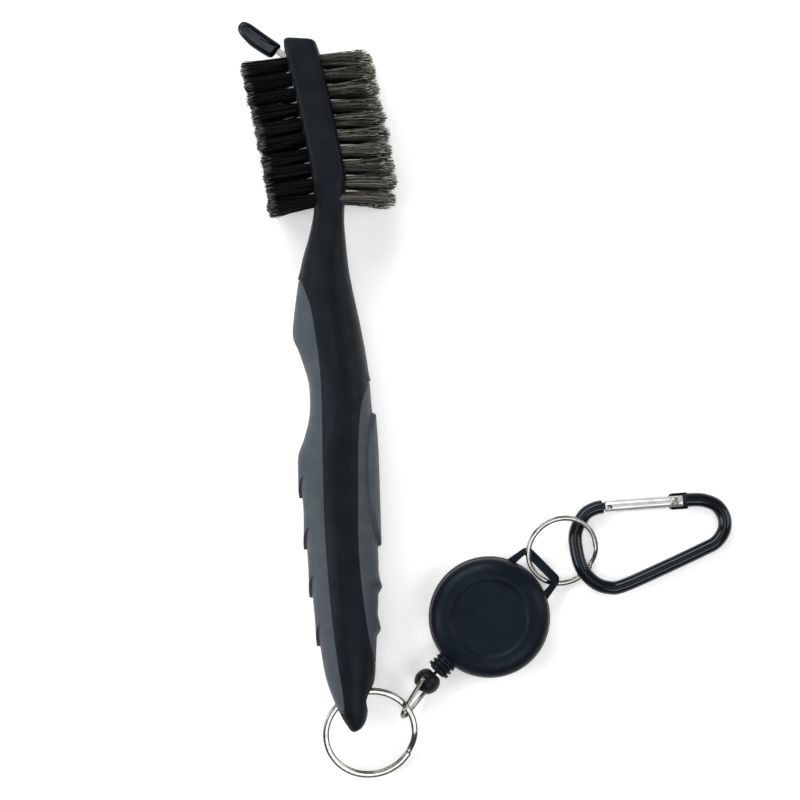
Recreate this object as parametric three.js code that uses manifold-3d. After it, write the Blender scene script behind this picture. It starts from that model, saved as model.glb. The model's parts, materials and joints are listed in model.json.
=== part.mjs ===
// Club groove brush on a retractable cord reel with a carabiner.
// Millimetres, +Z up. The set lies flat on a table at z = 0: the brush on its side with its
// handle end at y = 0 and its head towards +Y, and the ring, reel and carabiner to its right.
import * as THREE from 'three';
import * as BufferGeometryUtils from 'three/addons/utils/BufferGeometryUtils.js';
import Module from 'manifold-3d';

const wasm = await Module();
wasm.setup();

// ---------------------------------------------------------------- driving dimensions
const FIT_GAP = 0.3; // space between pieces that touch on the real object

// brush
const BRUSH_Z = 10.5; // height of the brush's middle plane over the table
const HEAD_BOTTOM = 141.2; // y of the lowest tuft row
const ROW_COUNT = 10;
const ROW_PITCH = 4.05;
const TUFT_COLUMNS = [-5.8, 0, 5.8]; // z of the tuft columns
const TUFT_RADIUS = 0.95;
const TUFT_HOLE_RADIUS = 1.25;
const TUFT_HOLE_DEPTH = 3;
const TUFT_LENGTH = 12;
const PICK_ROWS = 4; // top nylon rows with no middle tuft, to make room for the folded pick
const GRIP_THICKNESS = 2.4;
const TIP_HOLE = { y: 8.9, radius: 3.7 };

// groove pick, which folds into a recess in the nylon side of the head
const PICK = { x: -3.9, y: 180.2, width: 3.4, fold: THREE.MathUtils.degToRad(128) };
const PICK_REACH = 15.4;
const PICK_PIN_RADIUS = 0.7;

// split rings: two turns of flat wire
const HANDLE_RING = { x: 4.5, y: -1.05, z: 5.45, radius: 11.9, band: 1.6, height: 1.6 };
const HANDLE_RING_TILT = { towards: 110, rise: 18 };
const CASE_RING = { x: 59, y: 43.6, z: 4.35, radius: 9.3, band: 1.2, height: 1.2 };
const CASE_RING_TILT = { towards: 120.5, rise: 22.6 };

// reel
const REEL = { x: 38.4, y: 27.3, radius: 16.2, height: 10 };
const CORD_Z = 4.75; // the cord leaves through the joint between the two halves of the case
const CORD_RADIUS = 0.45;
const CORD_HEADING = THREE.MathUtils.degToRad(221.6);
const STRAP_HEADING = THREE.MathUtils.degToRad(40.7);
const SPLIT_Z = 4.7; // joint between the halves of the case

// swivel ball and its wire bail
const BALL = { reach: 23.8, radius: 3.45, flat: 2.7 };
const BAIL_HEADING = new THREE.Vector3(-0.631, -0.764, 0.137).normalize();
const BAIL_PIVOT_HINT = new THREE.Vector3(-0.26, 0.24, 0.935);
const BAIL = { wire: 0.55, half: 4.15, loop: 2.5, length: 11.4 };

// carabiner, drawn from its gate rivet with the gate along -X
const CLIP = { x: 90, y: 54.5, z: 2.25, slopeX: -0.022, slopeY: -0.039, rod: 1.83 };
const GATE = { radius: 1.72, wall: 0.5, front: -18.6, back: 2.2, slot: 1.9 };
const RIVET = { radius: 0.75, half: 2.15, hole: 1.05 };
const LATCH_PIN = { x: -17.5, y: -0.35, radius: 0.4, half: 1.6, hole: 0.7 };
const GATE_SPRING = { from: -12.5, length: 8.5, radius: 0.75, turns: 5, wire: 0.16 };

// ---------------------------------------------------------------- materials
const finish = (color, roughness, metalness = 0) =>
  () => new THREE.MeshStandardMaterial({ color, roughness, metalness });
const blackPlastic = finish(0x1c2026, 0.45);
const greyRubber = finish(0x4b525a, 0.75);
const nylon = finish(0x0b0c10, 0.5);
const wireBristle = finish(0x5f5b52, 0.4, 0.8);
const nickel = finish(0xc9c9c7, 0.18, 1);
const steel = finish(0x9c9fa3, 0.35, 1);
const casePlastic = finish(0x161c24, 0.4);
const softBlack = finish(0x121316, 0.55);
const cordBlack = finish(0x16171a, 0.8);
const blackAnodised = finish(0x0c0d10, 0.2, 0.6);
const gateSilver = finish(0xb9babb, 0.3, 1);
const spoolWhite = finish(0xd8d8d2, 0.5);

// ---------------------------------------------------------------- shape helpers
const heading = (angle, reach = 1) =>
  new THREE.Vector3(Math.cos(angle) * reach, Math.sin(angle) * reach, 0);

// A closed mesh that skins a row of rings with the same number of points.
function loft(rings) {
  const count = rings[0].length;
  const points = rings.flat();
  const middle = (ring) =>
    ring.reduce((sum, p) => sum.add(p), new THREE.Vector3()).divideScalar(count);
  const first = points.push(middle(rings[0])) - 1;
  const last = points.push(middle(rings[rings.length - 1])) - 1;
  const end = (rings.length - 1) * count;
  const index = [];
  for (let i = 0; i < count; i++) {
    const next = (i + 1) % count;
    for (let r = 0; r < end; r += count) {
      index.push(r + i, r + next, r + count + i, r + next, r + count + next, r + count + i);
    }
    index.push(first, next, i, last, end + i, end + next);
  }
  const geometry = new THREE.BufferGeometry().setFromPoints(points);
  geometry.setIndex(index);
  return geometry;
}

// Rings of a section carried along a path. up is the direction of the section's second axis.
function sweep(path, section, up = new THREE.Vector3(0, 0, 1)) {
  const rings = path.map((at, i) => {
    const before = path[Math.max(i - 1, 0)];
    const after = path[Math.min(i + 1, path.length - 1)];
    const ahead = after.clone().sub(before).normalize();
    const side = up.clone().cross(ahead).normalize();
    const over = ahead.clone().cross(side);
    return section.map(([s, o]) => at.clone().addScaledVector(side, s).addScaledVector(over, o));
  });
  return loft(rings);
}

function roundSection(radius, sides) {
  const step = (2 * Math.PI) / sides;
  return Array.from({ length: sides }, (_, i) =>
    [Math.cos((i + 0.5) * step) * radius, Math.sin((i + 0.5) * step) * radius]);
}

const solid = (geometry) => {
  const bare = geometry.index ? geometry.clone() : geometry;
  bare.deleteAttribute('normal');
  bare.deleteAttribute('uv');
  const merged = BufferGeometryUtils.mergeVertices(bare, 1e-4);
  return new wasm.Manifold(new wasm.Mesh({
    numProp: 3,
    vertProperties: new Float32Array(merged.attributes.position.array),
    triVerts: new Uint32Array(merged.index.array),
  }));
};

const geometryOf = (body) => {
  const cut = body.getMesh();
  const geometry = new THREE.BufferGeometry();
  geometry.setAttribute('position', new THREE.BufferAttribute(cut.vertProperties, 3));
  geometry.setIndex(new THREE.BufferAttribute(cut.triVerts, 1));
  return geometry;
};

const cut = (body, ...tools) => tools.reduce((left, tool) => left.subtract(tool), body);
const join = (body, ...others) => others.reduce((all, other) => all.add(other), body);

const box = (low, high) => {
  const size = high.map((h, i) => h - low[i]);
  const middle = high.map((h, i) => (h + low[i]) / 2);
  return new THREE.BoxGeometry(...size).translate(...middle);
};

// A cylinder from one point to another.
function rod(from, to, radius, sides = 12) {
  const along = to.clone().sub(from);
  const turn = new THREE.Quaternion()
    .setFromUnitVectors(new THREE.Vector3(0, 1, 0), along.clone().normalize());
  return new THREE.CylinderGeometry(radius, radius, along.length(), sides)
    .applyQuaternion(turn)
    .translate(...from.clone().add(to).multiplyScalar(0.5).toArray());
}

// A flat outline with thickness, from z = low to z = high.
function plate(points, low, high) {
  const outline = new THREE.Shape(points.map(([x, y]) => new THREE.Vector2(x, y)));
  return new THREE.ExtrudeGeometry(outline, { depth: high - low, bevelEnabled: false })
    .translate(0, 0, low);
}

// A turned shape about Z from a profile of [radius, z] that starts and ends on the axis or
// closes on itself.
function turned(profile, segments = 32) {
  const points = profile.map(([r, z]) => new THREE.Vector2(r, z));
  return new THREE.LatheGeometry(points, segments).rotateX(Math.PI / 2);
}

const closed = (profile) => [...profile, profile[0]];

// ---------------------------------------------------------------- assembly helpers
const model = new THREE.Group();

function part(name, geometry, material, parent = model) {
  const mesh = new THREE.Mesh(geometry, material());
  mesh.name = name;
  parent.add(mesh);
  return mesh;
}

function groupAt(x, y, z, parent = model) {
  const group = new THREE.Group();
  group.position.set(x, y, z);
  parent.add(group);
  return group;
}

// Tips a flat group so that the side towards a heading (degrees) rises by some degrees.
function tip(group, { towards, rise }) {
  const high = heading(THREE.MathUtils.degToRad(towards));
  const axis = high.cross(new THREE.Vector3(0, 0, 1));
  group.setRotationFromAxisAngle(axis, THREE.MathUtils.degToRad(rise));
}

// ---------------------------------------------------------------- brush body
// Smooth curve x(y) or z(y) through [y, value] pairs, from the handle end up.
function curveOf(pairs) {
  const slope = (i) => {
    const [y0, v0] = pairs[Math.max(i - 1, 0)];
    const [y1, v1] = pairs[Math.min(i + 1, pairs.length - 1)];
    return (v1 - v0) / (y1 - y0);
  };
  return (y) => {
    const i = THREE.MathUtils.clamp(pairs.findIndex((p) => p[0] > y) - 1, 0, pairs.length - 2);
    const at = y >= pairs[pairs.length - 1][0] ? pairs.length - 2 : i;
    const [y0, v0] = pairs[at];
    const [y1, v1] = pairs[at + 1];
    const t = THREE.MathUtils.clamp((y - y0) / (y1 - y0), 0, 1);
    const a = slope(at) * (y1 - y0);
    const b = slope(at + 1) * (y1 - y0);
    return v0 + t * (a + t * (3 * (v1 - v0) - 2 * a - b + t * (2 * (v0 - v1) + a + b)));
  };
}

// finger side (-X): palm swell, index-finger recess, neck, then the nylon face of the head
const fingerSide = curveOf([
  [0, -0.4], [1.4, -1.2], [3.6, -2.4], [7.5, -4], [14.5, -6], [22.5, -6.9], [36, -8],
  [49, -8.6], [62, -8.8], [69, -9.3], [74.2, -9.1], [78.4, -7.3], [83.6, -5.6], [88, -5],
  [93, -5], [97.4, -5.9], [101.7, -7.1], [105.5, -8.3], [111, -7.6], [117.6, -6.3],
  [125.5, -4.4], [130.6, -2.5], [136, -0.8], [140, -0.1], [146, -0.1], [154, -0.9],
  [165, -2.4], [181, -4.9], [183.6, -5],
]);
// thumb side (+X), up to the wire face of the head
const thumbSide = curveOf([
  [0, 1.2], [1.1, 2.7], [3.2, 3.9], [8, 4.9], [13.6, 6.8], [18, 7.4], [24, 8.1], [32, 9],
  [42, 9.9], [49, 10.2], [64, 10.8], [75, 11.2], [92, 11.1], [98, 10.8], [107, 9.8],
  [115.5, 8.6], [122, 7.8], [130, 7.5], [136, 7.5], [141, 8.1], [146, 8.8], [149, 8.6],
  [156, 7.8], [165, 6.6], [172.6, 5.5], [180, 4.2], [183.6, 3.4],
]);
const halfWidth = curveOf([
  [0, 1.8], [3, 3.8], [9, 5.7], [20, 8.2], [40, 10], [65, BRUSH_Z], [90, 10.1], [105, 9],
  [118, 7.2], [128, 6.2], [137, 6.3], [142, 7.6], [146, 9.2], [150, 9.5], [183.6, 9.5],
]);

// overlapping scales on the lower finger side: each grows outwards towards its lower end
const SCALE_ENDS = [62.6, 49, 36.2, 23.2];
const SCALE_RELIEF = 0.7;
const scaleRelief = (y) => {
  const tops = [74, ...SCALE_ENDS];
  const i = SCALE_ENDS.findIndex((low) => y > low);
  if (i < 0 || y > tops[0]) return 0;
  return SCALE_RELIEF * ((tops[i] - y) / (tops[i] - SCALE_ENDS[i])) ** 2;
};
// raised thumb pad, and two small ribs under it
const PAD = { low: 48.6, high: 83.6, relief: 1 };
const RIBS = { at: [38.4, 27.2], relief: 0.8, spread: 1.3 };
const padRelief = (y) => {
  const ribs = RIBS.at.map((rib) => RIBS.relief * Math.exp(-(((y - rib) / RIBS.spread) ** 2)));
  return Math.max(y > PAD.low && y < PAD.high ? PAD.relief : 0, ...ribs);
};

const HEAD_FROM = 146; // sections get squarer from the neck up to here
const HEAD_TOP = 183.6;
const CORNER = 1.6; // rounding at the top of the head
const SECTION_POINTS = 16;

function bodyRing(y, inset = 0, relief = true) {
  const topDrop = Math.max(0, y - (HEAD_TOP - CORNER));
  const corner = CORNER - Math.sqrt(Math.max(CORNER ** 2 - topDrop ** 2, 0));
  const left = fingerSide(y) - (relief ? scaleRelief(y) : 0) + inset + corner;
  const right = thumbSide(y) + (relief ? padRelief(y) : 0) - inset - corner;
  const half = halfWidth(y) - inset - corner;
  const squareness = THREE.MathUtils.smoothstep(y, 125, HEAD_FROM);
  const power = 2 / THREE.MathUtils.lerp(2.5, 7, squareness);
  const round = (v) => Math.sign(v) * Math.abs(v) ** power;
  return Array.from({ length: SECTION_POINTS }, (_, i) => {
    const a = ((i + 0.5) / SECTION_POINTS) * 2 * Math.PI;
    const x = (left + right) / 2 + ((right - left) / 2) * round(Math.cos(a));
    return new THREE.Vector3(x, y, BRUSH_Z - half * round(Math.sin(a)));
  });
}

// where sections are taken: every few millimetres, and on both sides of each step
function bodyStations() {
  const steps = [...SCALE_ENDS, PAD.low, PAD.high].flatMap((y) => [y - 0.25, y + 0.25]);
  const ribs = RIBS.at.flatMap((y) => [y - 2, y - 0.8, y, y + 0.8, y + 2]);
  const ends = [0, 0.5, 1.4, 3, 5.5, 8.5, 12, HEAD_TOP - CORNER, HEAD_TOP - 0.7, HEAD_TOP];
  const even = Array.from({ length: 24 }, (_, i) => 17 + i * 6.4)
    .filter((y) => y < 176 && !steps.some((s) => Math.abs(s - y) < 1.2));
  return [...steps, ...ribs, ...ends, ...even].sort((a, b) => a - b);
}

// the boundary between the black core and the grey rubber on each side of the handle
const fingerSeam = curveOf([
  [4.6, -1.8], [10, -1.7], [18.5, -2.4], [33, -3.1], [54, -3.2], [75, -2.3], [93, -1.5],
  [101.4, -1.7], [110, -2.4], [114.5, -3.2], [121, -5.4],
]);
const thumbSeam = curveOf([
  [17.2, 7.6], [24.3, 6.3], [37, 5.3], [50, 5.2], [64.6, 6.2], [79.4, 7.4], [87.8, 9],
  [92.6, 11.6],
]);
const SPINE = { low: 14, high: 112, steps: 10 }; // the core under the rubber
const FINGER_GRIP = { low: 5, high: 120.6 };
const THUMB_GRIP = { low: 17.4, high: 92.4 };

// everything on the outer side of a seam, moved away from the core by a gap
function seamSide(seam, { low, high }, outwards, gap) {
  const steps = 14;
  const line = Array.from({ length: steps + 1 }, (_, i) => {
    const y = low + gap + ((high - low - 2 * gap) * i) / steps;
    return [seam(y) + outwards * gap, y];
  });
  const far = 30 * outwards;
  return solid(plate([...line, [far, high - gap], [far, low + gap]], -5, 30));
}

// tuft rows, from the neck up: foot on the face and heading of the bristles
const faceX = (side, y) => (side < 0 ? fingerSide(y) : thumbSide(y));
const rowHeading = (side, i) =>
  side < 0 ? Math.PI + 0.119 : THREE.MathUtils.degToRad(-0.6 + (3.2 * i) / (ROW_COUNT - 1));
const rowFoot = (side, i) => {
  const y = HEAD_BOTTOM + i * ROW_PITCH;
  return new THREE.Vector3(faceX(side, y), y, BRUSH_Z);
};
const rowColumns = (side, i) =>
  side < 0 && i >= ROW_COUNT - PICK_ROWS ? TUFT_COLUMNS.filter((z) => z) : TUFT_COLUMNS;

function tuftHoles() {
  const holes = [];
  for (const side of [-1, 1]) {
    for (let i = 0; i < ROW_COUNT; i++) {
      const out = heading(rowHeading(side, i));
      for (const z of rowColumns(side, i)) {
        const foot = rowFoot(side, i).add(new THREE.Vector3(0, 0, z));
        const deep = foot.clone().addScaledVector(out, -TUFT_HOLE_DEPTH);
        holes.push(solid(rod(deep, foot.addScaledVector(out, 1.5), TUFT_HOLE_RADIUS, 6)));
      }
    }
  }
  return holes;
}

// outline of the pick, drawn along +X from its pin and grown by a margin
const pickOutline = (grow = 0) => [
  [2.9 - grow, -0.6 - grow], [8, -0.1 - grow], [13, 0.3 - grow], [14.7 + grow / 2, 0.8 - grow],
  [PICK_REACH + grow, 1.8], [PICK_REACH - 0.3 + grow, 3.5 + grow / 2], [13.6, 4.4 + grow],
  [9.4, 4.9 + grow], [5, 4.3 + grow], [2.9 - grow, 3.8 + grow],
];
const PICK_HEADING = THREE.MathUtils.degToRad(135.6);
const pickFrame = (geometry, turn) =>
  geometry.rotateZ(PICK_HEADING + turn).translate(PICK.x, PICK.y, BRUSH_Z);

// the recess that the pick turns in, with an ear of the head on each side
function pickRecess() {
  const half = PICK.width / 2 + 0.6;
  const steps = 6;
  const shapes = Array.from({ length: steps + 1 }, (_, i) =>
    solid(pickFrame(plate(pickOutline(0.5), -half, half), PICK.fold * i / steps)));
  const hub = new THREE.CylinderGeometry(3.5, 3.5, 2 * half, 20)
    .rotateX(Math.PI / 2)
    .translate(PICK.x, PICK.y, BRUSH_Z);
  return [...shapes, solid(hub)];
}

const pinLine = (half, at = PICK) => [
  new THREE.Vector3(at.x, at.y, BRUSH_Z - half),
  new THREE.Vector3(at.x, at.y, BRUSH_Z + half),
];

function makeBrush() {
  const outer = solid(loft(bodyStations().map((y) => bodyRing(y))));
  const spine = (inset, longer) => {
    const low = SPINE.low - longer;
    const step = (SPINE.high + longer - low) / SPINE.steps;
    const stations = Array.from({ length: SPINE.steps + 1 }, (_, i) => low + i * step);
    return solid(loft(stations.map((y) => bodyRing(y, inset, false))));
  };
  const hole = solid(rod(
    new THREE.Vector3(-20, TIP_HOLE.y, BRUSH_Z),
    new THREE.Vector3(20, TIP_HOLE.y, BRUSH_Z),
    TIP_HOLE.radius,
    16,
  ));
  const core = spine(GRIP_THICKNESS, 0);
  const fingerCut = seamSide(fingerSeam, FINGER_GRIP, -1, 0).subtract(core);
  const thumbCut = seamSide(thumbSeam, THUMB_GRIP, 1, 0).subtract(core);
  const handle = cut(outer, fingerCut, thumbCut, hole, ...tuftHoles(), ...pickRecess(),
    solid(rod(...pinLine(6.4), PICK_PIN_RADIUS + FIT_GAP)));
  part('handle_core', geometryOf(handle), blackPlastic);

  const clearSpine = spine(GRIP_THICKNESS - FIT_GAP, FIT_GAP);
  const grip = (seam, span, side) =>
    outer.intersect(seamSide(seam, span, side, FIT_GAP)).subtract(clearSpine).subtract(hole);
  part('finger_grip', geometryOf(grip(fingerSeam, FINGER_GRIP, -1)), greyRubber);
  part('thumb_grip', geometryOf(grip(thumbSeam, THUMB_GRIP, 1)), greyRubber);
}

// One tuft, standing on its foot along +Y and spreading towards its tips.
function tuft(z, tipZ, tipHalf) {
  const ring = (y, midZ, halfX, halfZ) => roundSection(1, 6).map(([a, b]) =>
    new THREE.Vector3(a * halfX, y, midZ - b * halfZ));
  const foot = FIT_GAP - TUFT_HOLE_DEPTH;
  return loft([
    ring(foot, z, TUFT_RADIUS, TUFT_RADIUS),
    ring(0.6, z, TUFT_RADIUS, TUFT_RADIUS),
    ring(TUFT_LENGTH * 0.6, (z + tipZ) / 2, 1.35, (TUFT_RADIUS + tipHalf) / 2),
    ring(TUFT_LENGTH, tipZ, 1.8, tipHalf),
  ]);
}
const TUFT_TIPS = { outer: 6.9, outerHalf: 3.6, middleHalf: 3.75 };
const tuftAt = (z) => {
  if (z === 0) return tuft(0, 0, TUFT_TIPS.middleHalf);
  return tuft(z, Math.sign(z) * TUFT_TIPS.outer, TUFT_TIPS.outerHalf);
};

function makeBristles() {
  for (const [side, kind, material] of [[-1, 'nylon', nylon], [1, 'wire', wireBristle]]) {
    for (let i = 0; i < ROW_COUNT; i++) {
      const columns = rowColumns(side, i);
      const name = `${kind}_row_${String(ROW_COUNT - i).padStart(2, '0')}`;
      // rows with a middle tuft are joined at their tips; the others are two loose tufts
      const pieces = columns.includes(0)
        ? [[name, join(...columns.map((z) => solid(tuftAt(z))))]]
        : columns.map((z) => [`${name}_${z < 0 ? 'low' : 'high'}`, solid(tuftAt(z))]);
      for (const [pieceName, body] of pieces) {
        const row = part(pieceName, geometryOf(body), material);
        row.position.copy(rowFoot(side, i));
        row.rotation.z = rowHeading(side, i) - Math.PI / 2;
      }
    }
  }
}

function makePick() {
  const half = PICK.width / 2;
  const tangHalf = 0.7;
  const pick = solid(plate(pickOutline(), -half, half));
  const socket = solid(box([2, 0, -1], [6.3, 2.2, 1]));
  const group = groupAt(PICK.x, PICK.y, BRUSH_Z);
  group.rotation.z = PICK_HEADING;
  part('groove_pick', geometryOf(pick.subtract(socket)), blackAnodised, group);

  const eye = new THREE.CylinderGeometry(1.8, 1.8, 2 * tangHalf, 16).rotateX(Math.PI / 2);
  const tail = box([0.5, 0.3, -tangHalf], [6, 1.9, tangHalf]);
  const bore = new THREE.CylinderGeometry(1, 1, 4, 12).rotateX(Math.PI / 2);
  part('pick_tang', geometryOf(cut(join(solid(eye), solid(tail)), solid(bore))), steel, group);
  part('pick_pin', rod(...pinLine(6), PICK_PIN_RADIUS), steel);
}

// ---------------------------------------------------------------- split rings
// Two turns of flat wire, one lying on the other: the wire climbs to the upper turn just before
// it comes round to its own start, and ends where the climb begins.
function splitRing({ radius, band, height }) {
  const air = 0.12; // between the two turns
  const wire = (height - air) / 2;
  const climbFrom = 328;
  const climbTo = 357;
  const degreesPerStep = 14.3;
  const last = climbFrom + 358;
  const steps = Math.round(last / degreesPerStep);
  const path = Array.from({ length: steps + 1 }, (_, i) => {
    const turn = (i / steps) * last;
    const level = THREE.MathUtils.smoothstep(turn, climbFrom, climbTo) - 0.5;
    return heading(THREE.MathUtils.degToRad(turn), radius).setZ(level * (wire + air));
  });
  const w = band / 2;
  const h = wire / 2;
  const flat = w * 0.7;
  const section = [[w, 0], [flat, h], [-flat, h], [-w, 0], [-flat, -h], [flat, -h]];
  return sweep(path, section);
}

function makeRings() {
  const handleRing = groupAt(HANDLE_RING.x, HANDLE_RING.y, HANDLE_RING.z);
  tip(handleRing, HANDLE_RING_TILT);
  part('handle_split_ring', splitRing(HANDLE_RING), nickel, handleRing);
  const caseRing = groupAt(CASE_RING.x, CASE_RING.y, CASE_RING.z);
  tip(caseRing, CASE_RING_TILT);
  part('case_split_ring', splitRing(CASE_RING), nickel, caseRing);
}

// ---------------------------------------------------------------- reel
const STRAP = { reach: 20.9, half: 6.6, bar: 2.4, leg: 1.4, low: 3.15, high: 4.5 };
const SPOOL = { low: 1.9, high: 7.7, flange: 0.8, radius: 14.2, drum: 9.5, cup: 8.4, bore: 2.1 };
const WINDING = { inner: 9.8, outer: 11.7 };
const AXLE_RADIUS = 1.7;
const CASE_WALL = 1.4;
const OUTLET_RADIUS = 1.1;
const STRAP_ROOT = 13.5; // how far inside the case the strap loop starts

function makeReel() {
  const reel = groupAt(REEL.x, REEL.y, 0);
  const R = REEL.radius;
  const inside = R - CASE_WALL;
  const outletHole = () => solid(rod(
    heading(CORD_HEADING, 12).setZ(CORD_Z),
    heading(CORD_HEADING, R + 2).setZ(CORD_Z),
    OUTLET_RADIUS,
    10,
  ));

  // back half: a cup with a socket for the axle, and the strap loop at its rim
  const cup = solid(turned([
    [0, 0], [R - 1.2, 0], [R, 1.2], [R, SPLIT_Z - FIT_GAP / 2], [inside, SPLIT_Z - FIT_GAP / 2],
    [inside, 1.3], [AXLE_RADIUS + FIT_GAP, 1.3], [AXLE_RADIUS + FIT_GAP, 0.6], [0, 0.6],
  ], 28));
  const { reach, half, bar, leg, low, high } = STRAP;
  const strap = solid(plate([
    [STRAP_ROOT, -half - 1.1], [reach - 1.2, -half], [reach, -half + 1.2],
    [reach, half - 1.2], [reach - 1.2, half], [STRAP_ROOT, half + 1.1],
  ], low, high));
  const window = solid(box([5, leg - half, 0], [reach - bar, half - leg, 9]));
  const frameOnly = cut(strap, window, solid(new THREE.CylinderGeometry(
    inside + 0.5, inside + 0.5, 20, 28).rotateX(Math.PI / 2)));
  const back = join(cup, frameOnly.rotate([0, 0, THREE.MathUtils.radToDeg(STRAP_HEADING)]));
  part('reel_back_case', geometryOf(back.subtract(outletHole())), casePlastic, reel);

  // front half: a dome with a shallow round recess, and a boss for the axle inside
  const front = solid(turned([
    [0, 9.5], [10.2, 9.5], [10.4, REEL.height], [11.6, REEL.height], [14, 9.3], [15.5, 7.9],
    [R, 6.2], [R, SPLIT_Z + FIT_GAP / 2], [inside, SPLIT_Z + FIT_GAP / 2], [inside, 7.4],
    [13.6, 8.3], [3.2, 8.3], [3.2, 7.8], [AXLE_RADIUS + FIT_GAP, 7.8],
    [AXLE_RADIUS + FIT_GAP, 9], [0, 9],
  ].reverse(), 28));
  part('reel_front_cover', geometryOf(front.subtract(outletHole())), casePlastic, reel);

  part('reel_axle', turned([[0, 0.9], [AXLE_RADIUS, 0.9], [AXLE_RADIUS, 8.7], [0, 8.7]], 16),
    steel, reel);

  const { flange, radius, drum, cup: cupRadius, bore } = SPOOL;
  part('reel_spool', turned(closed([
    [bore, SPOOL.low], [radius, SPOOL.low], [radius, SPOOL.low + flange],
    [drum, SPOOL.low + flange], [drum, SPOOL.high - flange], [radius, SPOOL.high - flange],
    [radius, SPOOL.high], [cupRadius, SPOOL.high], [cupRadius, SPOOL.low + flange],
    [bore, SPOOL.low + flange],
  ]), 24), spoolWhite, reel);

  part('reel_spring', reelSpring(), steel, reel);

  const windLow = SPOOL.low + flange + FIT_GAP;
  const windHigh = SPOOL.high - flange - FIT_GAP;
  part('cord_winding', turned(closed([
    [WINDING.inner, windLow], [WINDING.outer - 0.3, windLow], [WINDING.outer, windLow + 0.4],
    [WINDING.outer, windHigh - 0.4], [WINDING.outer - 0.3, windHigh], [WINDING.inner, windHigh],
  ]), 24), cordBlack, reel);
  makeCord(reel);
}

// Flat spiral spring in the cup of the spool.
function reelSpring() {
  const turns = 4.5;
  const steps = 48;
  const strip = 0.3;
  const from = AXLE_RADIUS + FIT_GAP + 0.1;
  const to = SPOOL.cup - FIT_GAP - strip;
  const edge = (offset) => Array.from({ length: steps + 1 }, (_, i) => {
    const angle = (i / steps) * turns * 2 * Math.PI;
    const radius = from + ((to - from) * i) / steps + offset;
    return [Math.cos(angle) * radius, Math.sin(angle) * radius];
  });
  const outline = [...edge(strip), ...edge(0).reverse()];
  return plate(outline, SPOOL.low + SPOOL.flange + FIT_GAP, SPOOL.high - FIT_GAP);
}

// The cord runs from the winding to the outlet, then through the stopper into the ball.
function makeCord(reel) {
  const section = roundSection(CORD_RADIUS, 8);
  const leave = WINDING.outer + FIT_GAP + CORD_RADIUS;
  const spread = Math.acos(leave / REEL.radius);
  const start = heading(CORD_HEADING + spread, leave).setZ(CORD_Z);
  const bend = heading(CORD_HEADING, REEL.radius - 1.6).setZ(CORD_Z);
  const mouth = heading(CORD_HEADING, REEL.radius - 0.4).setZ(CORD_Z);
  const feed = new THREE.CatmullRomCurve3([start, start.clone().lerp(bend, 0.6), bend, mouth]);
  part('cord_feed', sweep(feed.getSpacedPoints(8), section), cordBlack, reel);
  const lead = [REEL.radius - 0.1, BALL.reach + 0.4].map((reach) =>
    heading(CORD_HEADING, reach).setZ(CORD_Z));
  part('cord_lead', sweep(lead, section), cordBlack, reel);
}

// ---------------------------------------------------------------- stopper, ball and bail
const STOPPER_FROM = REEL.radius + 0.1;
const KNOT = { radius: 1.25, cavity: 1.7 };

function makeBallEnd() {
  // turned about Z, then laid along the cord with +Z pointing away from the reel
  const end = groupAt(REEL.x, REEL.y, CORD_Z);
  const away = heading(CORD_HEADING);
  end.quaternion.setFromUnitVectors(new THREE.Vector3(0, 0, 1), away);
  const bore = CORD_RADIUS + FIT_GAP;
  const ribs = [[3.2, 0.9], [3.1, 2.4], [2.95, 3.9]];
  const profile = ribs.flatMap(([radius, top]) => [
    [radius - 0.65, top - 0.8], [radius, top - 0.7], [radius, top], [radius - 0.65, top + 0.1],
  ]).slice(1, -1);
  const stopper = turned(closed([
    [bore, 0.1], ...profile, [bore, 3.95],
  ]), 16);
  part('cord_stopper', stopper.translate(0, 0, STOPPER_FROM), softBlack, end);

  const ball = solid(new THREE.SphereGeometry(BALL.radius, 16, 10));
  const cordBore = solid(new THREE.CylinderGeometry(bore, bore, 5, 10)
    .rotateX(Math.PI / 2).translate(0, 0, -2.5));
  const cavity = solid(new THREE.CylinderGeometry(KNOT.cavity, KNOT.cavity, 6, 12)
    .rotateX(Math.PI / 2).translate(0, 0, 2.6));
  const flat = solid(box([-5, -5, BALL.flat], [5, 5, 6]));
  const toBall = end.quaternion.clone().invert();
  const pivot = bailPivot().applyQuaternion(toBall);
  const pivotHole = solid(rod(
    pivot.clone().multiplyScalar(-5), pivot.clone().multiplyScalar(5), BAIL.wire + 0.15, 10));
  const pivotCore = solid(rod(
    pivot.clone().multiplyScalar(-1.9), pivot.clone().multiplyScalar(1.9), 2, 10));
  const body = cut(ball, cordBore, cavity, flat, pivotHole.subtract(pivotCore));
  part('swivel_ball', geometryOf(body), softBlack, end).position.z = BALL.reach;

  const knot = new THREE.IcosahedronGeometry(KNOT.radius, 1).translate(0, 0, 0.4 + 1.6);
  part('cord_end_knot', geometryOf(solid(knot)), cordBlack, end).position.z = BALL.reach;
  makeBail();
}

// the bail's pivot runs across its own length
function bailPivot() {
  const along = BAIL_PIVOT_HINT.dot(BAIL_HEADING);
  return BAIL_PIVOT_HINT.clone().addScaledVector(BAIL_HEADING, -along).normalize();
}

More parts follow.
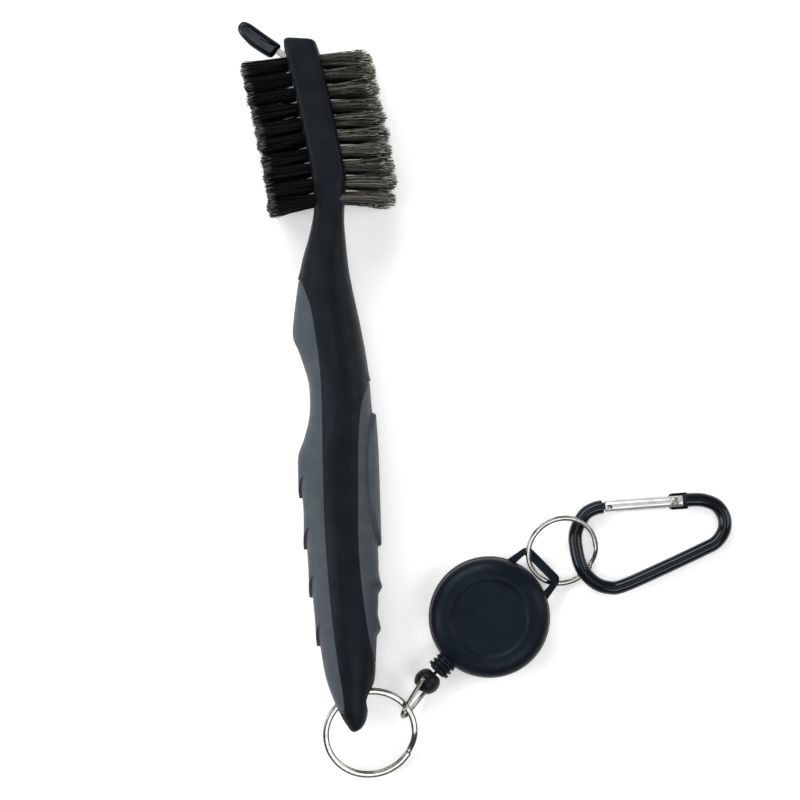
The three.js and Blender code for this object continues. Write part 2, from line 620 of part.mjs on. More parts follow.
function makeBail() {
  const ballAt = heading(CORD_HEADING, BALL.reach).add(new THREE.Vector3(REEL.x, REEL.y, CORD_Z));
  const group = groupAt(...ballAt.toArray());
  // local +X along the bail, local +Y along its pivot
  const pivot = bailPivot();
  const normal = BAIL_HEADING.clone().cross(pivot);
  group.quaternion.setFromRotationMatrix(
    new THREE.Matrix4().makeBasis(BAIL_HEADING, pivot, normal));
  const arcSteps = 8;
  const arc = (x, y, radius, from, to) => Array.from({ length: arcSteps + 1 }, (_, i) => {
    const a = THREE.MathUtils.degToRad(from + ((to - from) * i) / arcSteps);
    return new THREE.Vector3(x + radius * Math.cos(a), y + radius * Math.sin(a), 0);
  });
  const elbow = 0.9;
  const lower = [
    new THREE.Vector3(0, -2.2, 0),
    ...arc(elbow, -BAIL.half + elbow, elbow, 180, 270),
  ];
  const loopEnd = arc(BAIL.length - BAIL.loop, 0, BAIL.loop, -72, 72);
  const upper = lower.map((p) => new THREE.Vector3(p.x, -p.y, 0)).reverse();
  const path = [...lower, ...loopEnd, ...upper];
  part('cord_bail', sweep(path, roundSection(BAIL.wire, 6)), nickel, group);
}

// ---------------------------------------------------------------- carabiner
function makeCarabiner() {
  const clip = groupAt(CLIP.x, CLIP.y, CLIP.z);
  clip.rotation.set(CLIP.slopeY, -CLIP.slopeX, 0);
  const bends = [
    [2.6, 0.1], [5, 0.1], [8, -0.3], [11.3, -2], [13, -5.2], [12.7, -8.6], [10.4, -11.6],
    [6.5, -13.4], [-5, -17.8], [-15.1, -21.4], [-19, -21.7], [-22.9, -20], [-26.1, -15.8],
    [-27.2, -9.6], [-26.7, -5.7], [-24.3, -1.9], [-21.6, -0.4], [-19.2, 0],
  ];
  const line = new THREE.CatmullRomCurve3(bends.map(([x, y]) => new THREE.Vector3(x, y, 0)));
  const frame = solid(sweep(line.getSpacedPoints(44), roundSection(CLIP.rod, 8)));

  // flat tongue that the gate straddles, with the rivet hole
  const tongueHalf = GATE.slot / 2 - FIT_GAP;
  const tongue = solid(plate([
    [-1.9, -1.2], [-1, -2.2], [3.4, -2.2], [3.4, 2.2], [-1, 2.2], [-1.9, 1.2],
  ], -tongueHalf, tongueHalf));
  const drill = (x, y, radius) =>
    solid(rod(new THREE.Vector3(x, y, -3), new THREE.Vector3(x, y, 3), radius));
  const rivetHole = drill(0, 0, RIVET.hole);
  // hooked blade at the nose that holds the latch pin, open towards the eye
  const blade = solid(plate([
    [-20.5, -1], [-19, -1], [-18.2, 0.35], [-16.9, 0.35], [-16.9, -0.7], [-16.2, -0.7],
    [-16.2, 1], [-20.5, 1],
  ], -tongueHalf, tongueHalf));
  const body = cut(join(frame, tongue, blade), rivetHole);
  part('carabiner_body', geometryOf(body), blackAnodised, clip);

  // the gate: a tube with a slot at each end
  const across = (x) => new THREE.Vector3(x, 0, 0);
  const tube = solid(rod(across(GATE.front), across(GATE.back), GATE.radius, 16));
  const hollow = solid(rod(across(GATE.front - 1), across(GATE.back + 1),
    GATE.radius - GATE.wall, 12));
  const slotHalf = GATE.slot / 2;
  const frontSlot = solid(box([GATE.front - 1, -3, -slotHalf], [-15.6, 3, slotHalf]));
  const backSlot = solid(box([-2.4, -3, -slotHalf], [GATE.back + 1, 3, slotHalf]));
  const latchHole = drill(LATCH_PIN.x, LATCH_PIN.y, LATCH_PIN.hole);
  const gate = cut(tube, hollow, frontSlot, backSlot, rivetHole, latchHole);
  part('carabiner_gate', geometryOf(gate), gateSilver, clip);

  const pin = (name, x, y, { radius, half }) => part(name, turned([
    [0, -half], [radius, -half], [radius, half], [0, half],
  ], 12), steel, clip).position.set(x, y, 0);
  pin('gate_rivet', 0, 0, RIVET);
  pin('gate_latch_pin', LATCH_PIN.x, LATCH_PIN.y, LATCH_PIN);

  const steps = GATE_SPRING.turns * 8;
  const coil = Array.from({ length: steps + 1 }, (_, i) => {
    const a = (i / 8) * 2 * Math.PI;
    return new THREE.Vector3(GATE_SPRING.from + (i / steps) * GATE_SPRING.length,
      Math.cos(a) * GATE_SPRING.radius, Math.sin(a) * GATE_SPRING.radius);
  });
  const wire = roundSection(GATE_SPRING.wire, 4);
  part('gate_spring', sweep(coil, wire, new THREE.Vector3(1, 0, 0)), steel, clip);
}

makeBrush();
makeBristles();
makePick();
makeRings();
makeReel();
makeBallEnd();
makeCarabiner();

// the origin is under the middle of the whole set, on the table
const bounds = new THREE.Box3().setFromObject(model, true);
const middle = bounds.getCenter(new THREE.Vector3());
model.position.set(-middle.x, -middle.y, -bounds.min.z);

export default model;
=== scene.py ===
# Club groove brush on a retractable cord reel with a carabiner, lying on a pale table.
# Shapes are worked out in millimetres in the design's own frame, whose origin is the tip of the
# brush's handle at table height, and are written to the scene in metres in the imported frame.
import json
import math

import bmesh
import bpy
import numpy as np
from mathutils import Matrix, Vector


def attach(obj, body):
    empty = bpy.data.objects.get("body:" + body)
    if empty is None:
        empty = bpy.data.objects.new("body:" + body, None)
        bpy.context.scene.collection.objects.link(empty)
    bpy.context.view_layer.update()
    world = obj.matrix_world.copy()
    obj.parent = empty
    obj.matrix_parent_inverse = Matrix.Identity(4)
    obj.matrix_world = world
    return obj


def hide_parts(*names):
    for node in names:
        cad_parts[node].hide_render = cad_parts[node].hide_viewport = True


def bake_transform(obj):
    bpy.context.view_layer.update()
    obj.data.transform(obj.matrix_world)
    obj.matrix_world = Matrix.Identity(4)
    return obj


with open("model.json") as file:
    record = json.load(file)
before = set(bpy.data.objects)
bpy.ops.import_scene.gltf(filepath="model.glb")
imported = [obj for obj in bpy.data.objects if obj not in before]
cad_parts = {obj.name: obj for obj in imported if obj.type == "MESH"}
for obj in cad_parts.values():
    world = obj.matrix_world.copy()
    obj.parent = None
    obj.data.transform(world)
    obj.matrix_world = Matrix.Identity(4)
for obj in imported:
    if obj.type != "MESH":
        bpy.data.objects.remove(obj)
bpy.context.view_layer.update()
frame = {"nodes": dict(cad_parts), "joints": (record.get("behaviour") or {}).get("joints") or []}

MM = 0.001
JOINTS = {joint["name"]: joint for joint in frame["joints"]}
NODES = frame["nodes"]
RNG = np.random.default_rng(5)
Z_AXIS = np.array([0.0, 0.0, 1.0])

# ---------------- frames taken from the joints
PICK_PIVOT = np.array([-3.9, 180.2, 10.5])
ORIGIN = np.array(JOINTS["pick_fold"]["pos_m"]) / MM - PICK_PIVOT


def joint_point(name):
    """A joint's point in the design's own frame, in millimetres."""
    return np.array(JOINTS[name]["pos_m"]) / MM - ORIGIN


def joint_axis(name):
    axis = np.array(JOINTS[name]["axis"], float)
    return axis / np.linalg.norm(axis)


def basis(at, x, z):
    """A 4x4 matrix that puts local X along x as far as z allows, and local Z along z."""
    z = np.array(z, float) / np.linalg.norm(z)
    x = np.array(x, float) - z * np.dot(x, z)
    x /= np.linalg.norm(x)
    out = np.eye(4)
    out[:3, 0], out[:3, 1], out[:3, 2], out[:3, 3] = x, np.cross(z, x), z, at
    return out


def moved(points, matrix):
    points = np.asarray(points, float)
    return points @ matrix[:3, :3].T + matrix[:3, 3]


# ---------------- number helpers
def smoothstep(x, low, high):
    t = np.clip((x - low) / (high - low), 0, 1)
    return t * t * (3 - 2 * t)


def lerp(a, b, t):
    return a + (b - a) * t


def signed_power(v, power):
    return np.sign(v) * np.abs(v) ** power


def curve_of(pairs):
    """Smooth curve through [y, value] pairs, the same one as in the design."""
    ys, vs = np.array(pairs, float).T
    before = np.maximum(np.arange(len(ys)) - 1, 0)
    after = np.minimum(np.arange(len(ys)) + 1, len(ys) - 1)
    slope = (vs[after] - vs[before]) / (ys[after] - ys[before])

    def value(y):
        y = np.asarray(y, float)
        i = np.clip(np.searchsorted(ys, y, side="right") - 1, 0, len(ys) - 2)
        run = ys[i + 1] - ys[i]
        t = np.clip((y - ys[i]) / run, 0, 1)
        a, b, rise = slope[i] * run, slope[i + 1] * run, vs[i + 1] - vs[i]
        return vs[i] + t * (a + t * (3 * rise - 2 * a - b + t * (a + b - 2 * rise)))

    return value


# ---------------- materials
EVEN = (1, 1, 1)
BLOTCH, SMUDGE, DENT = 6.0, 3, 2.5  # sizes of the slow changes in colour, gloss and form, in mm
BRAID_STRAND, BRAID_DEPTH = 0.3, 0.05


def new_material(name, color, roughness, metallic=0.0, specular=0.5, coat=0.0):
    """A material with its tree and its shader, ready for detail."""
    mat = bpy.data.materials.new(name)
    mat.use_nodes = True
    tree = mat.node_tree
    shader = tree.nodes["Principled BSDF"]
    for socket, value in (("Base Color", (*color, 1)), ("Roughness", roughness),
                          ("Metallic", metallic), ("Specular IOR Level", specular),
                          ("Coat Weight", coat), ("Coat Roughness", 0.06)):
        shader.inputs[socket].default_value = value
    return mat, tree, shader


def coordinates(tree, stretch=EVEN):
    source = tree.nodes.new("ShaderNodeTexCoord").outputs["Object"]
    if stretch == EVEN:
        return source
    mapping = tree.nodes.new("ShaderNodeMapping")
    mapping.inputs["Scale"].default_value = stretch
    tree.links.new(source, mapping.inputs["Vector"])
    return mapping.outputs["Vector"]


def noise(tree, size_mm, detail=3.0, stretch=EVEN):
    """Noise whose blobs are about size_mm across."""
    node = tree.nodes.new("ShaderNodeTexNoise")
    node.inputs["Scale"].default_value = 1 / (size_mm * MM)
    node.inputs["Detail"].default_value = detail
    tree.links.new(coordinates(tree, stretch), node.inputs["Vector"])
    return node.outputs["Fac"]


def remap(tree, source, low, high, to_low, to_high):
    node = tree.nodes.new("ShaderNodeMapRange")
    for socket, value in zip(node.inputs[1:5], (low, high, to_low, to_high)):
        socket.default_value = value
    tree.links.new(source, node.inputs[0])
    return node.outputs[0]


def mix_color(tree, factor, a, b):
    """Mix of two colours; a and b are colours or sockets."""
    node = tree.nodes.new("ShaderNodeMix")
    node.data_type = "RGBA"
    tree.links.new(factor, node.inputs["Factor"])
    for socket, value in ((node.inputs[6], a), (node.inputs[7], b)):
        if isinstance(value, tuple):
            socket.default_value = (*value, 1)
        else:
            tree.links.new(value, socket)
    return node.outputs[2]


def add_bumps(tree, shader, bumps):
    """Chain of bumps: (noise size mm, height mm, detail, stretch)."""
    normal = None
    for size, height, detail, stretch in bumps:
        node = tree.nodes.new("ShaderNodeBump")
        node.inputs["Distance"].default_value = height * MM
        tree.links.new(noise(tree, size, detail, stretch), node.inputs["Height"])
        if normal:
            tree.links.new(normal, node.inputs["Normal"])
        normal = node.outputs["Normal"]
    tree.links.new(normal, shader.inputs["Normal"])


def plastic(name, dark, light, rough, grain, specular=0.5, coat=0.0, tint=EVEN):
    """Moulded plastic or rubber: mottled colour, uneven gloss and fine grain."""
    mat, tree, shader = new_material(name, dark, sum(rough) / 2, 0, specular, coat)
    shader.inputs["Specular Tint"].default_value = (*tint, 1)
    cloud = remap(tree, noise(tree, BLOTCH, 4), 0.35, 0.65, 0, 1)
    color = mix_color(tree, cloud, dark, light)
    tree.links.new(color, shader.inputs["Base Color"])
    gloss = remap(tree, noise(tree, BLOTCH / 3, 5), 0.3, 0.7, *rough)
    tree.links.new(gloss, shader.inputs["Roughness"])
    add_bumps(tree, shader, grain)
    return mat


def metal(name, color, dark, rough, stretch=EVEN, scratch=0.5, height=0.004):
    """Plated, drawn or brushed metal: smudges, and fine marks along the drawing direction."""
    mat, tree, shader = new_material(name, color, sum(rough) / 2, metallic=1)
    smudge = remap(tree, noise(tree, SMUDGE, 5), 0.45, 0.75, 0, 1)
    tree.links.new(mix_color(tree, smudge, color, dark), shader.inputs["Base Color"])
    lines = noise(tree, scratch, 4, stretch)
    tree.links.new(remap(tree, lines, 0.3, 0.7, *rough), shader.inputs["Roughness"])
    add_bumps(tree, shader, [(scratch, height, 4, stretch), (DENT, height * 2, 2, EVEN)])
    return mat


def filament(name, dark, light, tip, rough, metallic, specular):
    """Bristle: each filament has its own tone, and the cut ends of some get the tip colour, a
    painted highlight.
    """
    mat, tree, shader = new_material(name, dark, sum(rough) / 2, metallic, specular)
    tone = tree.nodes.new("ShaderNodeAttribute")
    tone.attribute_name = "tone"
    along = tree.nodes.new("ShaderNodeAttribute")
    along.attribute_name = "painted_tip_glint"
    body = mix_color(tree, tone.outputs["Fac"], dark, light)
    # the tip colour on the marked cut ends is a painted highlight, standing in for their
    # reflection
    color = mix_color(tree, along.outputs["Fac"], body, tip)
    tree.links.new(color, shader.inputs["Base Color"])
    tree.links.new(remap(tree, tone.outputs["Fac"], 0, 1, *rough), shader.inputs["Roughness"])
    add_bumps(tree, shader, [(0.35, 0.01, 3, EVEN)])
    return mat


FINE = (0.28, 0.012, 2, EVEN)
SPARK = (0.9, 0.01, 4, EVEN)
COOL = (0.72, 0.87, 1.0)
CORE = plastic("satin_black_plastic", (0.004, 0.0052, 0.0068), (0.0068, 0.0084, 0.0104),
               (0.38, 0.5), [FINE, SPARK], specular=0.12, tint=COOL)
RUBBER = plastic("grey_soft_rubber", (0.038, 0.0465, 0.0555), (0.05, 0.0595, 0.07),
                 (0.5, 0.66), [(0.3, 0.025, 3, EVEN), (1.4, 0.02, 3, EVEN)],
                 specular=0.3, tint=COOL)
CASE = plastic("blue_black_case_plastic", (0.0042, 0.0068, 0.0105), (0.0062, 0.0095, 0.0145),
               (0.3, 0.4), [FINE, (2.2, 0.012, 3, EVEN)], specular=0.09, tint=COOL)
SOFT_BLACK = plastic("black_moulded_plastic", (0.004, 0.0045, 0.0055), (0.007, 0.0075, 0.0085),
                     (0.3, 0.45), [FINE, SPARK], specular=0.2, tint=COOL)
GLOSS_BLACK = plastic("black_enamel", (0.0035, 0.004, 0.005), (0.005, 0.006, 0.0075),
                      (0.12, 0.22), [(1.6, 0.012, 3, EVEN)], specular=0.26, coat=0.06,
                      tint=COOL)
SPOOL_WHITE = plastic("natural_acetal", (0.62, 0.62, 0.57), (0.7, 0.7, 0.65), (0.4, 0.55),
                      [FINE, SPARK])
NICKEL = metal("bright_nickel", (0.27, 0.265, 0.25), (0.16, 0.156, 0.148), (0.12, 0.24),
               height=0.0015)
STEEL = metal("plain_steel", (0.4, 0.4, 0.4), (0.25, 0.245, 0.24), (0.28, 0.45))
GATE_SILVER = metal("satin_silver", (0.62, 0.62, 0.61), (0.5, 0.5, 0.5), (0.34, 0.44),
                    stretch=(0.06, 1, 1), scratch=0.25)
# the third colour of each bristle is a painted highlight on the filaments' cut ends
NYLON = filament("black_nylon", (0.0012, 0.0014, 0.0018), (0.004, 0.0042, 0.005),
                 (0.16, 0.155, 0.14), (0.4, 0.6), 0.0, 0.12)
WIRE = filament("bristle_wire", (0.01, 0.0092, 0.008), (0.2, 0.187, 0.155), (0.36, 0.345, 0.295),
                (0.38, 0.58), 0.6, 0.35)


def cord_material():
    """Braided cord: crossing strands as a fine checked bump."""
    mat, tree, shader = new_material("black_braid", (0.01, 0.01, 0.011), 0.8, 0, 0.3)
    voronoi = tree.nodes.new("ShaderNodeTexVoronoi")
    voronoi.inputs["Scale"].default_value = 1 / (BRAID_STRAND * MM)
    tree.links.new(coordinates(tree), voronoi.inputs["Vector"])
    bump = tree.nodes.new("ShaderNodeBump")
    bump.inputs["Distance"].default_value = BRAID_DEPTH * MM
    tree.links.new(voronoi.outputs["Distance"], bump.inputs["Height"])
    tree.links.new(bump.outputs["Normal"], shader.inputs["Normal"])
    strands = remap(tree, voronoi.outputs["Distance"], 0, 0.6, 0, 1)
    color = mix_color(tree, strands, (0.022, 0.022, 0.024), (0.006, 0.006, 0.007))
    tree.links.new(color, shader.inputs["Base Color"])
    return mat


BRAID = cord_material()


# ---------------- mesh helpers
def grid_faces(rows, columns, wrap=True, start=0):
    """Quads of a grid of points, wrapped round its columns or not."""
    r = np.arange(rows - 1)[:, None] * columns + start
    c = np.arange(columns if wrap else columns - 1)[None, :]
    n = (c + 1) % columns
    quads = np.stack([r + c, r + n, r + columns + n, r + columns + c], axis=-1)
    return quads.reshape(-1, 4).tolist()


def skin(rings):
    """Closed mesh over rings of points, with a fan at each end."""
    rings = np.asarray(rings, float)
    rows, columns = rings.shape[:2]
    points = np.concatenate([rings.reshape(-1, 3), [rings[0].mean(0)], [rings[-1].mean(0)]])
    faces = grid_faces(rows, columns)
    first, last, end = rows * columns, rows * columns + 1, (rows - 1) * columns
    for i in range(columns):
        n = (i + 1) % columns
        faces.append([first, n, i])
        faces.append([last, end + i, end + n])
    return points, faces


def round_section(radius, sides):
    a = (np.arange(sides) + 0.5) * 2 * math.pi / sides
    return np.stack([np.cos(a), np.sin(a)], 1) * radius


def flat_wire_section(width, height, steps=20):
    """Flattened round wire."""
    a = np.arange(steps) * 2 * math.pi / steps
    return np.stack([width / 2 * signed_power(np.cos(a), 0.7),
                     height / 2 * signed_power(np.sin(a), 0.7)], 1)


def tube(path, section, up=Z_AXIS, scale=None):
    """Closed mesh of a section carried along a path."""
    path = np.asarray(path, float)
    ahead = np.gradient(path, axis=0)
    ahead /= np.linalg.norm(ahead, axis=1)[:, None]
    side = np.cross(np.asarray(up, float), ahead)
    side /= np.linalg.norm(side, axis=1)[:, None]
    over = np.cross(ahead, side)
    size = np.ones(len(path)) if scale is None else np.asarray(scale)
    section = np.asarray(section)
    rings = (path[:, None] + size[:, None, None] * (
        side[:, None] * section[None, :, :1] + over[:, None] * section[None, :, 1:]))
    return skin(rings)


def distances(path):
    return np.concatenate([[0], np.cumsum(np.linalg.norm(np.diff(path, axis=0), axis=1))])


def rounded_rod(path, radius, sides=20, up=Z_AXIS, lip=0.25):
    """Round bar with softened ends, along a densely sampled path."""
    path = np.asarray(path, float)
    along = distances(path)
    ends = np.array([0, 0.15, 0.5, 1.0]) * lip
    stations = np.unique(np.concatenate([along[(along > lip) & (along < along[-1] - lip)],
                                         ends, along[-1] - ends]))
    dense = np.stack([np.interp(stations, along, path[:, k]) for k in range(3)], 1)
    near = np.clip(np.minimum(stations, along[-1] - stations) / lip, 0, 1)
    drop = 1 - lip / radius * (1 - np.sqrt(1 - (1 - near) ** 2))
    return tube(dense, round_section(radius, sides), up, drop)


def spline(points, count, closed=False):
    """Catmull-Rom curve through points."""
    pts = np.asarray(points, float)
    n = len(pts)
    spans = n if closed else n - 1
    t = np.linspace(0, spans, count, endpoint=not closed)
    i = np.minimum(t.astype(int), spans - 1)
    f = (t - i)[:, None]

    def pick(k):
        return pts[k % n] if closed else pts[np.clip(k, 0, n - 1)]

    a, b, c, d = pick(i - 1), pick(i), pick(i + 1), pick(i + 2)
    return 0.5 * (2 * b + (c - a) * f + (2 * a - 5 * b + 4 * c - d) * f ** 2
                  + (3 * b - a - 3 * c + d) * f ** 3)


def filleted(points, radius, steps=4, closed=False):
    """An outline with each corner replaced by a short curve."""
    pts = [np.array(p, float) for p in points]
    count = len(pts)
    out = []
    for i, p in enumerate(pts):
        if not closed and i in (0, count - 1):
            out.append(p)
            continue
        a, b = pts[i - 1], pts[(i + 1) % count]
        reach = [min(radius, np.linalg.norm(q - p) * 0.48) for q in (a, b)]
        start = p + (a - p) / np.linalg.norm(a - p) * reach[0]
        end = p + (b - p) / np.linalg.norm(b - p) * reach[1]
        for t in np.linspace(0, 1, steps + 1):
            out.append((1 - t) ** 2 * start + 2 * t * (1 - t) * p + t * t * end)
    return np.array(out)


def rectangle(left, low, right, high):
    return [[left, low], [right, low], [right, high], [left, high]]


def turned(profile, segments=96):
    """Shape turned about Z from [radius, z] points that start and end on the axis."""
    profile = np.asarray(profile, float)
    inner = profile[1:-1]
    a = np.arange(segments) * 2 * math.pi / segments
    rings = np.stack([inner[:, None, 0] * np.cos(a), inner[:, None, 0] * np.sin(a),
                      np.repeat(inner[:, 1:], segments, 1)], -1)
    points, faces = skin(rings)
    points[-2], points[-1] = (0, 0, profile[0][1]), (0, 0, profile[-1][1])
    return points, faces


def ring_turned(profile, segments=96):
    """Shape turned about Z from a closed loop of [radius, z] points off the axis."""
    profile = np.asarray(profile, float)
    a = np.arange(segments) * 2 * math.pi / segments
    rings = np.stack([profile[None, :, 0] * np.cos(a)[:, None],
                      profile[None, :, 0] * np.sin(a)[:, None],
                      np.repeat(profile[None, :, 1], segments, 0)], -1)
    count = len(profile)
    faces = grid_faces(segments + 1, count)
    total = segments * count
    return rings.reshape(-1, 3), [[v % total for v in face] for face in faces]


def plate(outline, low, high, edge=0.25, steps=3):
    """Flat outline with thickness and rounded edges all round, built as stacked rings."""
    outline = np.asarray(outline, float)
    ahead = np.roll(outline, -1, 0) - np.roll(outline, 1, 0)
    ahead /= np.linalg.norm(ahead, axis=1)[:, None]
    inward = np.stack([-ahead[:, 1], ahead[:, 0]], 1)
    area = np.sum(outline[:, 0] * np.roll(outline[:, 1], -1)
                  - outline[:, 1] * np.roll(outline[:, 0], -1))
    inward *= 1 if area > 0 else -1
    rings = []
    rounding = [k / steps * math.pi / 2 for k in range(steps + 1)]
    for face, sign, angles in ((low, 1, rounding), (high, -1, rounding[::-1])):
        for a in angles:
            pulled = outline + inward * edge * (1 - math.sin(a))
            rings.append([[x, y, face + sign * edge * (1 - math.cos(a))] for x, y in pulled])
    return skin(rings)


def raw_object(name, points, faces, matrix=None):
    """An object from millimetre points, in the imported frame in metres, facing outwards."""
    points = np.asarray(points, float)
    if matrix is not None:
        points = moved(points, matrix)
    mesh = bpy.data.meshes.new(name)
    mesh.from_pydata(((points + ORIGIN) * MM).tolist(), [], faces)
    mesh.validate()
    obj = bpy.data.objects.new(name, mesh)
    bpy.context.scene.collection.objects.link(obj)
    face_out(obj)
    return obj


def face_out(obj):
    bm = bmesh.new()
    bm.from_mesh(obj.data)
    bmesh.ops.recalc_face_normals(bm, faces=bm.faces)
    bm.to_mesh(obj.data)
    bm.free()


def combine(obj, other, operation):
    """Boolean of two objects, applied. The other object is removed."""
    modifier = obj.modifiers.new("combine", "BOOLEAN")
    modifier.operation = operation
    modifier.solver = "EXACT"
    modifier.object = other
    depsgraph = bpy.context.evaluated_depsgraph_get()
    mesh = bpy.data.meshes.new_from_object(obj.evaluated_get(depsgraph))
    obj.modifiers.clear()
    obj.data = mesh
    bpy.data.objects.remove(other)


def cut(obj, shape, matrix=None):
    combine(obj, raw_object("cutter", *shape, matrix), "DIFFERENCE")


def join(obj, shape, matrix=None):
    combine(obj, raw_object("addition", *shape, matrix), "UNION")


def finish_piece(obj, mat, body, slot, *replaced, angle=32):
    """Gives a piece its material and the body it moves with, and hides the CAD parts it stands
    for. slot is not used.
    """
    obj.data.materials.clear()
    obj.data.materials.append(mat)
    obj.data.shade_smooth()
    obj.data.set_sharp_from_angle(angle=math.radians(angle))
    if body:
        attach(obj, body)
    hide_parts(*replaced)


def add_piece(name, shape, matrix, mat, body, slot, *replaced, angle=32):
    obj = raw_object(name, *shape, matrix)
    finish_piece(obj, mat, body, slot, *replaced, angle=angle)
    return obj


# ---------------- brush: outline curves
BRUSH_Z = 10.5
finger_side = curve_of([
    [0, -0.4], [1.4, -1.2], [3.6, -2.4], [7.5, -4], [14.5, -6], [22.5, -6.9], [36, -8],
    [49, -8.6], [62, -8.8], [69, -9.3], [74.2, -9.1], [78.4, -7.3], [83.6, -5.6], [88, -5],
    [93, -5], [97.4, -5.9], [101.7, -7.1], [105.5, -8.3], [111, -7.6], [117.6, -6.3],
    [125.5, -4.4], [130.6, -2.5], [136, -0.8], [140, -0.1], [146, -0.1], [154, -0.9],
    [165, -2.4], [181, -4.9], [183.6, -5]])
thumb_side = curve_of([
    [0, 1.2], [1.1, 2.7], [3.2, 3.9], [8, 4.9], [13.6, 6.8], [18, 7.4], [24, 8.1], [32, 9],
    [42, 9.9], [49, 10.2], [64, 10.8], [75, 11.2], [92, 11.1], [98, 10.8], [107, 9.8],
    [115.5, 8.6], [122, 7.8], [130, 7.5], [136, 7.5], [141, 8.1], [146, 8.8], [149, 8.6],
    [156, 7.8], [165, 6.6], [172.6, 5.5], [180, 4.2], [183.6, 3.4]])
half_width = curve_of([
    [0, 1.8], [3, 3.8], [9, 5.7], [20, 8.2], [40, 10], [65, BRUSH_Z], [90, 10.1], [105, 9],
    [118, 7.2], [128, 6.2], [137, 6.3], [142, 7.6], [146, 9.2], [150, 9.5], [183.6, 9.5]])
finger_seam = curve_of([
    [4.6, -1.8], [10, -1.7], [18.5, -2.4], [33, -3.1], [54, -3.2], [75, -2.3], [93, -1.5],
    [101.4, -1.7], [110, -2.4], [114.5, -3.2], [121, -5.4]])
thumb_seam = curve_of([
    [17.2, 7.6], [24.3, 6.3], [37, 5.3], [50, 5.2], [64.6, 6.2], [79.4, 7.4], [87.8, 9],
    [92.6, 11.6]])
HEAD_TOP = 183.6
CORNER = 1.0
TIP_ROUND = 0.8
SQUARENESS = {"handle": 2.5, "head": 7.0, "turn": (125, 146)}
FINGER_SPAN = (5.0, 120.6)
THUMB_SPAN = (17.4, 92.4)
CREASE = {"depth": 0.55, "share": 0.66, "starts": (6, 20), "ends": (112, 136)}
HEAD_SLOPE = {"rise": 0.13, "from": 178.5}
SHOULDER = {"height": 0.35, "length": 3.5}
TIP_HOLE = {"y": 8.9, "radius": 3.7}
RUBBER_DEPTH = 1.8
SEAM_GAP = 0.07
LIP = 0.22
QUARTER = np.linspace(0, math.pi / 2, 5)


def section_sizes(y, inset):
    """Middle, half width, half height and power of the brush's rounded section at y."""
    top = np.maximum(0, y - (HEAD_TOP - CORNER))
    low = np.maximum(0, TIP_ROUND - y)
    corner = (CORNER - np.sqrt(np.maximum(CORNER ** 2 - top ** 2, 0))
              + TIP_ROUND - np.sqrt(np.maximum(TIP_ROUND ** 2 - low ** 2, 0)))
    left = finger_side(y) + inset + corner
    right = thumb_side(y) - inset - corner
    half = half_width(y) - inset - corner
    power = 2 / lerp(SQUARENESS["handle"], SQUARENESS["head"], smoothstep(y, *SQUARENESS["turn"]))
    return (left + right) / 2, (right - left) / 2, half, power


def brush_surface(y, angle, inset=0.0, relief=0.0):
    """Points of the brush's skin. angle 0 is the thumb side and pi the finger side."""
    middle, wide, half, power = section_sizes(y, inset)
    x = middle + wide * signed_power(np.cos(angle), power)
    lift = np.abs(np.sin(angle)) ** power
    # the flat sides of the handle meet in a soft crease that fades out at the tip and the neck
    right, left = thumb_seam(y), finger_seam(y)
    crease = lerp(right, left, CREASE["share"])
    away = np.where(x > crease, (x - crease) / (right - crease), (crease - x) / (crease - left))
    along = smoothstep(y, *CREASE["starts"]) * (1 - smoothstep(y, *CREASE["ends"]))
    drop = CREASE["depth"] * np.minimum(away, 1) * along * lift
    z = np.sign(np.sin(angle)) * (half * lift - drop)
    # relief stands out square to the section
    out_x, out_z = (x - middle) / wide ** 2, z / half ** 2
    size = np.sqrt(out_x ** 2 + out_z ** 2) + 1e-9
    x = x + relief * out_x / size
    z = z + relief * out_z / size
    return np.stack(np.broadcast_arrays(x, y, BRUSH_Z + z), -1)


def angle_at(y, x):
    middle, wide, _, power = section_sizes(y, 0.0)
    share = np.clip((x - middle) / wide, -0.985, 0.985)
    return np.arccos(signed_power(share, 1 / power))


def seam_angle(y, seam, span, default):
    """Angle of a seam over the top. Past the ends of the rubber it drifts to a default."""
    inside = angle_at(np.clip(y, *span), seam(np.clip(y, *span)))
    past = np.maximum(smoothstep(y, span[1], span[1] + 9), 1 - smoothstep(y, span[0] - 4, span[0]))
    return lerp(inside, default, past)


def finger_angle(y):
    return seam_angle(y, finger_seam, FINGER_SPAN, math.pi - 0.7)


def thumb_angle(y):
    return seam_angle(y, thumb_seam, THUMB_SPAN, 0.7)


def shoulder(y, angle, edge, side):
    """The core stands a little proud just past the end of a grip."""
    past = np.clip((y - edge) / SHOULDER["length"], 0, 1)
    facing = smoothstep(np.cos(angle - side), 0.86, 0.98)
    return np.where(y > edge, SHOULDER["height"] * (1 - past) ** 2, 0) * facing


